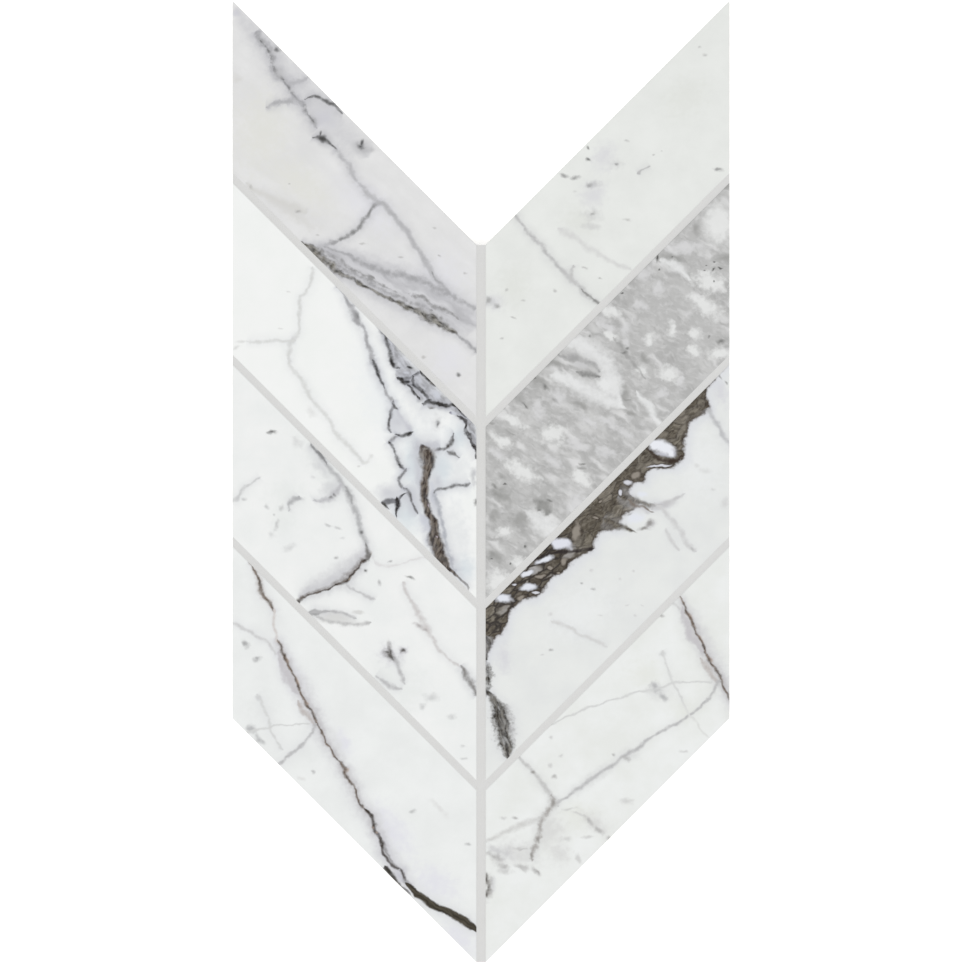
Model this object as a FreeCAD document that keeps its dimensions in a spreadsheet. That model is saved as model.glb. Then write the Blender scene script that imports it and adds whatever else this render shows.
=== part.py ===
import FreeCAD, Part
import os
import Sketcher

# Chevron wall tile: one mesh-backed sheet of porcelain tiles.
# Two columns of 45 degree parallelogram tiles meet at an upright centre joint, four rows high.
# The sheet lies face up: +Z is the face's normal, +Y runs along the centre joint towards the open notch,
# and the origin is the middle of the sheet at the underside of its backing.

ROWS = 4
LEFT = -1
RIGHT = 1
SIDE_NAMES = {LEFT: "left", RIGHT: "right"}

SIZES = [
    ("chevron_angle", 45.0, "slope of the long edges from the X axis, degrees"),
    ("strip_width", 74.6, "width of the strip that each tile is cut from"),
    ("tile_reach", 149.6, "width of one tile across the sheet"),
    ("tile_thickness", 9.0, "tile, from the lands on its back to its face"),
    ("edge_bevel", 0.4, "eased edge round the face"),
    ("row_joint", 4.25, "joint between rows, square to the joint"),
    ("centre_joint", 5.6, "upright joint between the two columns"),
    ("centre_joint_dip", 0.55, "hollow of the tooled upright joint at its middle"),
    ("row_joint_dip", 0.4, "hollow of the tooled row joints at their middle"),
    ("groove_pitch", 10.0, "step of the key grooves on the back"),
    ("groove_mouth", 6.4, "key groove at the back face"),
    ("groove_floor", 5.2, "key groove at its floor"),
    ("groove_depth", 0.7, "depth of the key grooves"),
    ("edge_land", 3.6, "least plain land left along a long edge"),
    ("backing_thickness", 0.4, "glass fibre mesh"),
    ("backing_inset", 3.0, "margin of the mesh inside the sheet's outline"),
]

# Lengths along Y, worked out from the sizes above.
TILE_SIDE = "(Sizes.strip_width / cos(Sizes.chevron_angle))"
JOINT_SIDE = "(Sizes.row_joint / cos(Sizes.chevron_angle))"
ROW_PITCH = f"({TILE_SIDE} + {JOINT_SIDE})"
RISE = "(Sizes.tile_reach * tan(Sizes.chevron_angle))"
SPINE_LENGTH = f"({ROWS} * {TILE_SIDE} + {ROWS - 1} * {JOINT_SIDE})"
HALF_LENGTH = f"(({SPINE_LENGTH} + {RISE}) / 2)"
HALF_CENTRE = "(Sizes.centre_joint / 2)"
HALF_WIDTH = f"({HALF_CENTRE} + Sizes.tile_reach)"

# Key grooves: as many as the strip takes between its edge lands, with the rest shared by both edges.
GROOVE_ROOM = "(Sizes.strip_width - 2 * Sizes.edge_land - Sizes.groove_mouth)"
GROOVE_STEPS = f"floor({GROOVE_ROOM} / Sizes.groove_pitch)"
GROOVE_PITCH_SIDE = "(Sizes.groove_pitch / cos(Sizes.chevron_angle))"
FIRST_LAND = (
    f"((Sizes.strip_width - {GROOVE_STEPS} * Sizes.groove_pitch - Sizes.groove_mouth)"
    " / 2 / cos(Sizes.chevron_angle))"
)
MOUTH_SIDE = "(Sizes.groove_mouth / cos(Sizes.chevron_angle))"
FLOOR_SIDE = "(Sizes.groove_floor / cos(Sizes.chevron_angle))"

# The joint filler stops at the foot of the eased edges.
FILLER_HEIGHT = "(Sizes.tile_thickness - Sizes.edge_bevel)"


def make_sizes(doc):
    sheet = doc.addObject("Spreadsheet::Sheet", "Sizes")
    for row, (alias, value, meaning) in enumerate(SIZES, start=1):
        sheet.set(f"A{row}", meaning)
        sheet.set(f"B{row}", str(value))
        sheet.setAlias(f"B{row}", alias)
    doc.recompute()


def value_of(doc, formula):
    """What a formula of the sizes comes to, in millimetres or as a plain number."""
    result = doc.Sizes.evalExpression(formula)
    return float(getattr(result, "Value", result))


def origin_feature(body, role):
    """One of the body's own origin planes or axes, such as XY_Plane."""
    return next(item for item in body.Origin.OriginFeatures if item.Role == role)


def new_body(doc, label):
    body = doc.addObject("PartDesign::Body", label)
    body.Label = label
    return body


def new_sketch(body, plane, name):
    sketch = body.newObject("Sketcher::SketchObject", name)
    sketch.AttachmentSupport = [(origin_feature(body, plane), "")]
    sketch.MapMode = "FlatFace"
    return sketch


def draw_loop(sketch, points):
    """Adds a closed loop of lines through the points and returns the number of its first line."""
    first = sketch.GeometryCount
    count = len(points)
    for here, there in zip(points, points[1:] + points[:1]):
        sketch.addGeometry(Part.LineSegment(FreeCAD.Vector(*here, 0), FreeCAD.Vector(*there, 0)))
    for index in range(count):
        following = first + (index + 1) % count
        sketch.addConstraint(Sketcher.Constraint("Coincident", first + index, 2, following, 1))
    return first


def place_point(sketch, line, x, y):
    """Ties the start of a line to two lengths from the sketch's origin, each a formula of the sizes."""
    for kind, formula in (("DistanceX", x), ("DistanceY", y)):
        start = sketch.getPoint(line, 1)
        measured = start.x if kind == "DistanceX" else start.y
        number = sketch.addConstraint(Sketcher.Constraint(kind, -1, 1, line, 1, measured))
        name = f"{kind[-1].lower()}_{line}"
        sketch.renameConstraint(number, name)
        sketch.setExpression(f"Constraints.{name}", formula)


def draw_outline(sketch, corners):
    """A closed outline whose corners are pairs of formulas; each corner is tied to the sizes."""
    doc = sketch.Document
    values = [(value_of(doc, x), value_of(doc, y)) for x, y in corners]
    first = draw_loop(sketch, values)
    for index, (x, y) in enumerate(corners):
        place_point(sketch, first + index, x, y)


def signed(side, formula):
    """The formula as it stands for the right column, and negative for the left one."""
    return formula if side == RIGHT else f"(-1 * {formula})"


def top_face(shape):
    """Name of the highest face."""
    heights = [face.CenterOfMass.z for face in shape.Faces]
    return f"Face{heights.index(max(heights)) + 1}"


# One tile: a slanted strip end with eased edges and moulded key grooves on its back
def make_tile(doc, side, row):
    body = new_body(doc, f"tile_{SIDE_NAMES[side]}_{row}")

    outline = new_sketch(body, "XY_Plane", "outline")
    reach = signed(side, "Sizes.tile_reach")
    draw_outline(
        outline,
        [
            ("0", "0"),
            (reach, RISE),
            (reach, f"({RISE} + {TILE_SIDE})"),
            ("0", TILE_SIDE),
        ],
    )
    slab = body.newObject("PartDesign::Pad", "slab")
    slab.Profile = outline
    slab.setExpression("Length", "Sizes.tile_thickness")
    doc.recompute()

    bevel = body.newObject("PartDesign::Chamfer", "eased_edges")
    bevel.Base = (slab, [top_face(slab.Shape)])
    bevel.setExpression("Size", "Sizes.edge_bevel")
    doc.recompute()

    groove_end = new_sketch(body, "YZ_Plane", "groove_end")
    taper = f"(({MOUTH_SIDE} - {FLOOR_SIDE}) / 2)"
    draw_outline(
        groove_end,
        [
            (FIRST_LAND, "0"),
            (f"({FIRST_LAND} + {MOUTH_SIDE})", "0"),
            (f"({FIRST_LAND} + {MOUTH_SIDE} - {taper})", "Sizes.groove_depth"),
            (f"({FIRST_LAND} + {taper})", "Sizes.groove_depth"),
        ],
    )
    groove = body.newObject("PartDesign::Pocket", "key_groove")
    groove.Profile = groove_end
    groove.ReferenceAxis = (outline, ["Edge1"])
    groove.AlongSketchNormal = True
    groove.Type = "ThroughAll"
    groove.Reversed = True
    doc.recompute()

    grooves = body.newObject("PartDesign::LinearPattern", "key_grooves")
    grooves.Originals = [groove]
    grooves.Direction = (origin_feature(body, "Y_Axis"), [""])
    grooves.setExpression("Occurrences", f"{GROOVE_STEPS} + 1")
    grooves.setExpression("Length", f"{GROOVE_STEPS} * {GROOVE_PITCH_SIDE}")
    body.Tip = grooves

    rows_below = ROWS - row
    body.setExpression("Placement.Base.x", signed(side, HALF_CENTRE))
    body.setExpression("Placement.Base.y", f"{rows_below} * {ROW_PITCH} - {HALF_LENGTH}")
    body.setExpression("Placement.Base.z", "Sizes.backing_thickness")
    doc.recompute()
    return body


def cut_cove(body, name, plane, half_span, middle, depth):
    """A hollow along a joint: an arc between the joint's two sides, closed by a line along its top."""
    doc = body.Document
    sketch = new_sketch(body, plane, f"{name}_section")
    half = value_of(doc, half_span)
    centre = value_of(doc, middle)
    top = value_of(doc, FILLER_HEIGHT)
    dip = value_of(doc, depth)
    left_end = FreeCAD.Vector(centre - half, top, 0)
    right_end = FreeCAD.Vector(centre + half, top, 0)
    lowest = FreeCAD.Vector(centre, top - dip, 0)
    lid = sketch.addGeometry(Part.LineSegment(right_end, left_end))
    hollow = sketch.addGeometry(Part.Arc(left_end, lowest, right_end))
    sketch.addConstraint(Sketcher.Constraint("Coincident", lid, 2, hollow, 1))
    sketch.addConstraint(Sketcher.Constraint("Coincident", lid, 1, hollow, 2))
    place_point(sketch, lid, f"({middle} + {half_span})", FILLER_HEIGHT)
    sketch.addConstraint(Sketcher.Constraint("Horizontal", lid))
    span = sketch.addConstraint(Sketcher.Constraint("DistanceX", lid, 2, lid, 1, 2 * half))
    sketch.renameConstraint(span, "span")
    sketch.setExpression("Constraints.span", f"2 * {half_span}")
    radius = sketch.addConstraint(Sketcher.Constraint("Radius", hollow, (half**2 + dip**2) / (2 * dip)))
    sketch.renameConstraint(radius, "radius")
    sketch.setExpression("Constraints.radius", f"({half_span}^2 + {depth}^2) / (2 * {depth})")
    cove = body.newObject("PartDesign::Pocket", name)
    cove.Profile = sketch
    cove.Type = "Length"
    return cove


# The joint filler: an upright spine with three pairs of slanted legs, hollowed along its top
def make_filler(doc):
    body = new_body(doc, "joint_filler")

    spine_outline = new_sketch(body, "XY_Plane", "spine_outline")
    spine_top = f"({SPINE_LENGTH} - {HALF_LENGTH})"
    foot = f"(-1 * {HALF_LENGTH})"
    near_left = signed(LEFT, HALF_CENTRE)
    draw_outline(
        spine_outline,
        [(near_left, foot), (HALF_CENTRE, foot), (HALF_CENTRE, spine_top), (near_left, spine_top)],
    )
    spine = body.newObject("PartDesign::Pad", "spine")
    spine.Profile = spine_outline
    spine.setExpression("Length", FILLER_HEIGHT)
    doc.recompute()

    spine_cove = cut_cove(body, "spine_cove", "XZ_Plane", HALF_CENTRE, "0", "Sizes.centre_joint_dip")
    spine_cove.Type = "ThroughAll"
    spine_cove.SideType = "Symmetric"
    doc.recompute()

    leg_outline = new_sketch(body, "XY_Plane", "leg_outline")
    lower = f"({TILE_SIDE} - {HALF_LENGTH})"
    for side in (LEFT, RIGHT):
        near = signed(side, HALF_CENTRE)
        far = signed(side, HALF_WIDTH)
        draw_outline(
            leg_outline,
            [
                (near, lower),
                (far, f"({lower} + {RISE})"),
                (far, f"({lower} + {RISE} + {JOINT_SIDE})"),
                (near, f"({lower} + {JOINT_SIDE})"),
            ],
        )
    legs = body.newObject("PartDesign::Pad", "legs")
    legs.Profile = leg_outline
    legs.setExpression("Length", FILLER_HEIGHT)
    doc.recompute()

    leg_rows = body.newObject("PartDesign::LinearPattern", "leg_rows")
    leg_rows.Originals = [legs]
    repeat_up_the_spine(body, leg_rows)
    body.Tip = leg_rows
    doc.recompute()

    # Each leg's centre line meets the middle of the spine half a centre joint's rise below its own start.
    middle = f"({lower} + ({JOINT_SIDE} - Sizes.centre_joint * tan(Sizes.chevron_angle)) / 2)"
    half_side = f"({JOINT_SIDE} / 2)"
    for side, edge in ((LEFT, "Edge1"), (RIGHT, "Edge5")):
        name = f"cove_{SIDE_NAMES[side]}"
        cove = cut_cove(body, name, "YZ_Plane", half_side, middle, "Sizes.row_joint_dip")
        cove.ReferenceAxis = (leg_outline, [edge])
        cove.AlongSketchNormal = True
        cove.setExpression("Length", HALF_WIDTH)
        cove.Reversed = True
        doc.recompute()
        rows = body.newObject("PartDesign::LinearPattern", f"coves_{SIDE_NAMES[side]}")
        rows.Originals = [cove]
        repeat_up_the_spine(body, rows)
        body.Tip = rows
        doc.recompute()

    body.setExpression("Placement.Base.z", "Sizes.backing_thickness")
    doc.recompute()
    return body


def repeat_up_the_spine(body, pattern):
    """One copy for each joint between two rows."""
    pattern.Direction = (origin_feature(body, "Y_Axis"), [""])
    pattern.Occurrences = ROWS - 1
    pattern.setExpression("Length", f"{ROWS - 2} * {ROW_PITCH}")


# The backing: one piece of glass fibre mesh cut to the chevron, a margin inside the tiles
def make_backing(doc):
    body = new_body(doc, "backing_mesh")
    outline = new_sketch(body, "XY_Plane", "outline")
    inset = "Sizes.backing_inset"
    slant_inset = f"({inset} / cos(Sizes.chevron_angle))"
    far = f"({HALF_WIDTH} - {inset})"
    lean = f"({far} * tan(Sizes.chevron_angle))"
    # The long edges' lines cross the middle of the sheet a little below the tiles' corners.
    crossing = "(Sizes.centre_joint / 2 * tan(Sizes.chevron_angle))"
    low = f"({slant_inset} - {HALF_LENGTH} - {crossing})"
    high = f"({SPINE_LENGTH} - {HALF_LENGTH} - {crossing} - {slant_inset})"
    draw_outline(
        outline,
        [
            ("0", low),
            (far, f"({low} + {lean})"),
            (far, f"({high} + {lean})"),
            ("0", high),
            (signed(LEFT, far), f"({high} + {lean})"),
            (signed(LEFT, far), f"({low} + {lean})"),
        ],
    )
    mesh = body.newObject("PartDesign::Pad", "mesh")
    mesh.Profile = outline
    mesh.setExpression("Length", "Sizes.backing_thickness")
    doc.recompute()
    return body


def check(doc, bodies):
    for item in doc.Objects:
        if {"Invalid", "Error"} & set(item.State):
            raise RuntimeError(f"{item.Label} failed: {item.State}")
    for body in bodies:
        shape = body.Shape
        if shape.isNull() or not shape.isValid() or len(shape.Solids) != 1:
            raise RuntimeError(f"{body.Label} isn't one valid solid")


def main():
    doc = FreeCAD.newDocument("chevron_wall_tile")
    make_sizes(doc)
    bodies = [make_tile(doc, side, row) for side in (LEFT, RIGHT) for row in range(1, ROWS + 1)]
    bodies.append(make_filler(doc))
    bodies.append(make_backing(doc))
    doc.recompute()
    check(doc, bodies)
    os.makedirs("parts", exist_ok=True)
    for body in bodies:
        body.Shape.exportStep(os.path.join("parts", f"{body.Label}.step"))
        box = body.Shape.BoundBox
        size = f"{box.XLength:.2f} x {box.YLength:.2f} x {box.ZLength:.2f} mm"
        print(f"{body.Label}: {body.Shape.Volume:.1f} mm3, {size}")


main()
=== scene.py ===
import math
import bmesh
import bpy
from mathutils import Matrix, Vector


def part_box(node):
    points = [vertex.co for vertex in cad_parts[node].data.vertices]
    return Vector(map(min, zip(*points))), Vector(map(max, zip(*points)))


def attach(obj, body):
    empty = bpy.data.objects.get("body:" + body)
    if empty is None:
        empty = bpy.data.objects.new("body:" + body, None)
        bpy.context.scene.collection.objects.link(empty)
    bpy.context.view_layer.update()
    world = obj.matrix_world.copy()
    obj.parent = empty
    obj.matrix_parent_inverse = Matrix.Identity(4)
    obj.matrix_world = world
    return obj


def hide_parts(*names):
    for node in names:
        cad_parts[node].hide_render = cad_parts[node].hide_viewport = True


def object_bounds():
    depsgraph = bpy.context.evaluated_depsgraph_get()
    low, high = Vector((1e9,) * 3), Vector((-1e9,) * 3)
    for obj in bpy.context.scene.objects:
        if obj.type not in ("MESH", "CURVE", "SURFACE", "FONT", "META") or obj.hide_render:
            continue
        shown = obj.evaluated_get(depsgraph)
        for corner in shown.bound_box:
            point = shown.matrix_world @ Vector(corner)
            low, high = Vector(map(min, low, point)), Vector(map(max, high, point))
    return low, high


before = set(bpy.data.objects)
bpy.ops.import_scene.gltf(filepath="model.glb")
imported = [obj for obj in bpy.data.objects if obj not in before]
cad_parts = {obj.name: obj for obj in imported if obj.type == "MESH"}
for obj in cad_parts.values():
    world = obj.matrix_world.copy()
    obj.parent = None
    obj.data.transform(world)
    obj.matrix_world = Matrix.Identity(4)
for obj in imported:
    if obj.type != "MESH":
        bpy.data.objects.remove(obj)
cad_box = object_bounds()

# Camera
# The sheet lies face up on the floor, and the camera looks straight down on it from six metres, with the
# notch at the top of the picture. Millimetres throughout are the sheet's own, from its middle.
MM = 0.001
PICTURE_PIXELS = 963
PIXELS_PER_MM = 1.6302
PICTURE_MIDDLE = (0.28, 0.09)
CAMERA_HEIGHT = 6000.0
SENSOR = 36.0

camera = bpy.data.objects.new("camera", bpy.data.cameras.new("camera"))
bpy.context.scene.collection.objects.link(camera)
bpy.context.scene.camera = camera
face_height = cad_box[1][2]
camera.location = (PICTURE_MIDDLE[0] * MM, PICTURE_MIDDLE[1] * MM, CAMERA_HEIGHT * MM + face_height)
camera.data.sensor_width = SENSOR
camera.data.lens = SENSOR * CAMERA_HEIGHT * PIXELS_PER_MM / PICTURE_PIXELS
camera.data.clip_end = 50.0


# Printed marble
# Every tile is pressed porcelain with a marble print under a satin glaze. A print is laid down as the
# printer would: a ground colour, soft clouds over it, and then veins, each along points in millimetres.
# The glaze mirrors a little of the room, so the print is that much darker than the tone that shows.
GLAZE_SHEEN = 0.026


def linear(red, green, blue, sheen=0.0):
    """A colour read off in 0 to 255 steps, as the shaders take it."""
    def channel(step):
        share = step / 255
        light = share / 12.92 if share <= 0.04045 else ((share + 0.055) / 1.055) ** 2.4
        return max(light - sheen, 0.002) / (1 - sheen)
    return (channel(red), channel(green), channel(blue), 1.0)


def add_node(tree, kind, inputs=(), **settings):
    """A shader node with its settings and inputs; an input is a value or another node's output."""
    node = tree.nodes.new("ShaderNode" + kind)
    for name, value in settings.items():
        setattr(node, name, value)
    for name, value in dict(inputs).items():
        if isinstance(value, bpy.types.NodeSocket):
            tree.links.new(value, node.inputs[name])
        else:
            node.inputs[name].default_value = value
    return node


def maths(tree, operation, *values):
    inputs = dict(enumerate(values))
    return add_node(tree, "Math", inputs, operation=operation).outputs[0]


def vector_maths(tree, operation, *values):
    inputs = dict(enumerate(values))
    return add_node(tree, "VectorMath", inputs, operation=operation).outputs[0]


def ramp(tree, value, low, high, at_low=0.0, at_high=1.0, curve="LINEAR"):
    """The value's place between low and high, from one output to the other, and level past both."""
    ends = {"Value": value, "From Min": low, "From Max": high, "To Min": at_low, "To Max": at_high}
    return add_node(tree, "MapRange", ends, interpolation_type=curve).outputs["Result"]


def mix_colour(tree, share, under, over):
    node = add_node(tree, "Mix", data_type="RGBA")
    for name, value in (("Factor_Float", share), ("A_Color", under), ("B_Color", over)):
        socket = next(item for item in node.inputs if item.identifier == name)
        if isinstance(value, bpy.types.NodeSocket):
            tree.links.new(value, socket)
        else:
            socket.default_value = value
    return next(item for item in node.outputs if item.identifier == "Result_Color")


def blank_material(name):
    material = bpy.data.materials.new(name)
    material.use_nodes = True
    material.node_tree.nodes.clear()
    return material


def end_material(tree, colour, roughness, relief, strength, depth, ior):
    """The last nodes of a material, with its relief as a bump of this strength and depth in millimetres."""
    bump = add_node(tree, "Bump", {"Height": relief, "Strength": strength, "Distance": depth * MM})
    look = {"Base Color": colour, "Roughness": roughness, "Normal": bump.outputs["Normal"], "IOR": ior}
    shader = add_node(tree, "BsdfPrincipled", look)
    add_node(tree, "OutputMaterial", {"Surface": shader.outputs["BSDF"]})


def cover(node, material):
    """Gives a CAD piece this one material."""
    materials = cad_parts[node].data.materials
    materials.clear()
    materials.append(material)


def new_group(name, inputs, outputs):
    """A node group with these number inputs and outputs."""
    tree = bpy.data.node_groups.new(name, "ShaderNodeTree")
    for side, labels in (("INPUT", inputs), ("OUTPUT", outputs)):
        for label in labels:
            tree.interface.new_socket(label, in_out=side, socket_type="NodeSocketFloat")
    return tree, tree.nodes.new("NodeGroupInput").outputs, tree.nodes.new("NodeGroupOutput").inputs


def fading_mask(tree, distance, given, end):
    """One inside the hard core, nothing at the end distance and past it, with a ragged rim between."""
    grit = maths(tree, "SUBTRACT", given["Grit"], 0.5)
    ragged = maths(tree, "MULTIPLY_ADD", grit, given["Ragged"], distance)
    return ramp(tree, ragged, given["Hardness"], end, 1.0, 0.0, "SMOOTHSTEP")


RIM_INPUTS = ["Hardness", "Ragged", "Grit", "Opacity"]
STAIN_REACH = 5.5


def make_vein_mask():
    """Half width and span are in millimetres, and a vein has half its ink at its half width. Breaks swell
    and pinch the line and thin its ink. Stain is the soft band that the vein leaves beside it."""
    own = ["Across", "Route", "Spread", "Span", "Half width", "Breaks", "Broken"]
    tree, given, out = new_group("vein mask", own + RIM_INPUTS, ["Mask", "Stain"])
    offset = maths(tree, "SUBTRACT", given["Across"], given["Route"])
    uneven = maths(tree, "SUBTRACT", given["Breaks"], 0.5)
    swell = maths(tree, "MULTIPLY_ADD", maths(tree, "MULTIPLY", uneven, 0.7), given["Broken"], 1.0)
    width = maths(tree, "MULTIPLY", given["Spread"], given["Half width"])
    away = maths(tree, "MULTIPLY", maths(tree, "ABSOLUTE", offset), given["Span"])
    reach = maths(tree, "MAXIMUM", maths(tree, "MULTIPLY", width, swell), 0.001)
    distance = maths(tree, "DIVIDE", away, reach)
    thinned = maths(tree, "MULTIPLY", maths(tree, "SUBTRACT", 1.0, given["Breaks"]), given["Broken"])
    ink = maths(tree, "SUBTRACT", 1.0, thinned)
    end = maths(tree, "SUBTRACT", 2.0, given["Hardness"])
    core = maths(tree, "MULTIPLY", fading_mask(tree, distance, given, end), ink)
    tapered = maths(tree, "MINIMUM", maths(tree, "MULTIPLY", given["Spread"], 4.0), given["Opacity"])
    tree.links.new(maths(tree, "MULTIPLY", core, tapered), out["Mask"])
    far = maths(tree, "MULTIPLY_ADD", width, 1.8, STAIN_REACH)
    nearness = ramp(tree, away, 0.0, far, 1.0, 0.0)
    patchy = ramp(tree, given["Breaks"], 0.0, 1.0, 0.7, 1.2)
    stain = maths(tree, "MULTIPLY", maths(tree, "POWER", nearness, 1.8), patchy)
    tree.links.new(maths(tree, "MULTIPLY", stain, tapered), out["Stain"])
    return tree


def make_cloud_mask():
    tree, given, out = new_group("cloud mask", ["Along", "Across"] + RIM_INPUTS, ["Mask"])
    squared = maths(tree, "MULTIPLY", given["Along"], given["Along"])
    squared = maths(tree, "MULTIPLY_ADD", given["Across"], given["Across"], squared)
    fade = fading_mask(tree, maths(tree, "SQRT", squared), given, 1.2)
    tree.links.new(maths(tree, "MULTIPLY", fade, given["Opacity"]), out["Mask"])
    return tree


VEIN_MASK = make_vein_mask()
CLOUD_MASK = make_cloud_mask()


class Print:
    """The print of one tile. Each call lays one more colour over what is there."""

    def __init__(self, name, ground, shade, stain, wander=1.3):
        self.material = blank_material(name)
        self.tree = self.material.node_tree
        self.moved = Vector((0, 0))
        self.stain = stain
        place = add_node(self.tree, "TexCoord").outputs["Object"]
        self.solid = vector_maths(self.tree, "MULTIPLY", place, (1 / MM, 1 / MM, 1 / MM))
        self.flat = vector_maths(self.tree, "MULTIPLY", place, (1 / MM, 1 / MM, 0.0))
        self.height = add_node(self.tree, "SeparateXYZ", {0: place}).outputs["Z"]
        drift = self.noise(self.flat, 0.12, 3.0, "Color", roughness=0.5)
        centred = vector_maths(self.tree, "SUBTRACT", drift, (0.5, 0.5, 0.5))
        strayed = vector_maths(self.tree, "MULTIPLY", centred, (4 * wander, 4 * wander, 0.0))
        self.place = vector_maths(self.tree, "ADD", self.flat, strayed)
        self.across_and_up = add_node(self.tree, "SeparateXYZ", {0: self.place}).outputs
        self.grit = ramp(self.tree, self.noise(self.flat, 0.45, 2.0, "Fac", roughness=0.5), 0.3, 0.7)
        self.breaks = ramp(self.tree, self.noise(self.flat, 0.26, 4.0, "Fac", roughness=0.55), 0.34, 0.6)
        bloom = ramp(self.tree, self.noise(self.flat, 0.04, 4.0, "Fac", roughness=0.6), 0.36, 0.64)
        self.colour = mix_colour(self.tree, bloom, self.ink(ground), self.ink(shade))

    def noise(self, place, scale, detail, output, roughness=0.5):
        inputs = {"Vector": place, "Scale": scale, "Detail": detail, "Roughness": roughness}
        return add_node(self.tree, "TexNoise", inputs).outputs[output]

    def ink(self, tone):
        return linear(*tone, sheen=GLAZE_SHEEN) if isinstance(tone, tuple) else tone

    def measure(self, start, direction, length, begin=0.0):
        """How far a place lies from the start in this direction, in lengths, counted from begin."""
        east, north = direction.x / length, direction.y / length
        origin = begin - (start.x + self.moved.x) * east - (start.y + self.moved.y) * north
        northward = maths(self.tree, "MULTIPLY_ADD", self.across_and_up["Y"], north, origin)
        return maths(self.tree, "MULTIPLY_ADD", self.across_and_up["X"], east, northward)

    def lay(self, mask, tone):
        self.colour = mix_colour(self.tree, mask, self.colour, self.ink(tone))

    def drawn(self, turn, size):
        """Places drawn out along one direction. Size is the length and the width of a unit."""
        inputs = {"Vector": self.place, "Rotation": (0, 0, math.radians(turn)), "Scale": (*size, 1)}
        return add_node(self.tree, "Mapping", inputs, vector_type="TEXTURE").outputs["Vector"]

    def streaks(self, turn, size, low=0.36, high=0.64):
        """Noise drawn out along one direction, from 0 to 1."""
        grain = self.noise(self.drawn(turn, size), 1.0, 3.0, "Fac", roughness=0.5)
        return ramp(self.tree, grain, low, high)

    def rubble(self, turn, size):
        """Lumps drawn out along one direction: how far a place is from its lump's rim, and each lump's
        own number from 0 to 1."""
        place = {"Vector": self.drawn(turn, size), "Scale": 1.0}
        rim = add_node(self.tree, "TexVoronoi", place, feature="DISTANCE_TO_EDGE").outputs["Distance"]
        return rim, add_node(self.tree, "TexVoronoi", place).outputs["Color"]

    def mottle(self, dark, light, turn, size, low=0.36, high=0.64):
        """Two inks run together in streaks."""
        return mix_colour(self.tree, self.streaks(turn, size, low, high), self.ink(dark), self.ink(light))

    def wash(self, tone, mask, opacity=1.0):
        self.lay(maths(self.tree, "MULTIPLY", mask, opacity), tone)

    def rim(self, hardness, ragged, opacity, grit):
        return {"Hardness": hardness, "Ragged": ragged, "Grit": grit, "Opacity": opacity}

    def spots(self, tone, places, opacity=1.0, hardness=0.0, ragged=0.4):
        """Soft patches of one tone, each as (x, y, half length, half width, turn from the X axis)."""
        whole = None
        for x, y, length, width, turn in places:
            middle = Vector((x, y))
            heading = Vector((math.cos(math.radians(turn)), math.sin(math.radians(turn))))
            along = self.measure(middle, heading, length)
            aside = self.measure(middle, heading.orthogonal(), width)
            rim = self.rim(hardness, ragged, opacity, self.breaks)
            inputs = {"Along": along, "Across": aside, **rim}
            mask = add_node(self.tree, "Group", inputs, node_tree=CLOUD_MASK).outputs["Mask"]
            whole = mask if whole is None else maths(self.tree, "MAXIMUM", whole, mask)
        self.lay(whole, tone)

    def follow(self, points, fade):
        """A place measured along and across the line through points that start with x and y. Gives the
        place along and the points' stops from 0 to 1, the place across and the line's own place as
        shares of the span, and the span."""
        start = Vector(points[0][:2])
        chord = Vector(points[-1][:2]) - start
        along = chord.normalized()
        across = along.orthogonal()
        length = chord.length + 2 * fade
        stops = [(fade + (Vector(point[:2]) - start).dot(along)) / length for point in points]
        offsets = [(Vector(point[:2]) - start).dot(across) for point in points]
        span = 2 * max(1.0, max(abs(offset) for offset in offsets))
        travelled = self.measure(start, along, length, fade / length)
        aside = self.measure(start, across, span, 0.5)
        route = self.curve(travelled, stops, [0.5 + offset / span for offset in offsets], "AUTO")
        return travelled, stops, aside, route, span

    def beside(self, points, ragged=0.0):
        """How far a place lies to the left of the way along these points, in millimetres."""
        aside, route, span = self.follow(points, 1.0)[2:]
        uneven = maths(self.tree, "MULTIPLY", maths(self.tree, "SUBTRACT", self.grit, 0.5), ragged)
        return maths(self.tree, "MULTIPLY_ADD", maths(self.tree, "SUBTRACT", aside, route), span, uneven)

    def vein(self, tone, points, opacity=1.0, hardness=0.1, ragged=0.25, broken=0.45, halo=0.5):
        """A vein through points of (x, y, half width), in order along the line from the first to the last.
        A point without a half width keeps the one before it."""
        widths = []
        for point in points:
            widths.append(point[2] if len(point) > 2 else widths[-1])
        widest = max(widths)
        fade = 0.5 + 1.2 * max(widths[0], widths[-1])
        travelled, stops, aside, route, span = self.follow(points, fade)
        shares = [width / widest for width in widths]
        spread = self.curve(travelled, [0.0, *stops, 1.0], [0.0, *shares, 0.0], "VECTOR")
        inputs = {
            "Across": aside,
            "Route": route,
            "Spread": spread,
            "Span": span,
            "Half width": widest,
            "Breaks": self.breaks,
            "Broken": broken,
            **self.rim(hardness, ragged, opacity, self.grit),
        }
        stroke = add_node(self.tree, "Group", inputs, node_tree=VEIN_MASK)
        if halo > 0:
            self.wash(self.stain, stroke.outputs["Stain"], halo)
        self.lay(stroke.outputs["Mask"], tone)

    def curve(self, value, stops, heights, handle):
        """A curve through these stops, from 0 to 1, and level past its ends."""
        node = add_node(self.tree, "FloatCurve", {"Value": value})
        node.mapping.extend = "HORIZONTAL"
        line = node.mapping.curves[0]
        for place, (stop, height) in enumerate(zip(stops, heights)):
            if place < 2:
                line.points[place].location = (stop, height)
            else:
                line.points.new(stop, height)
        for point in line.points:
            point.handle_type = handle
        node.mapping.update()
        return node.outputs["Value"]


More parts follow.
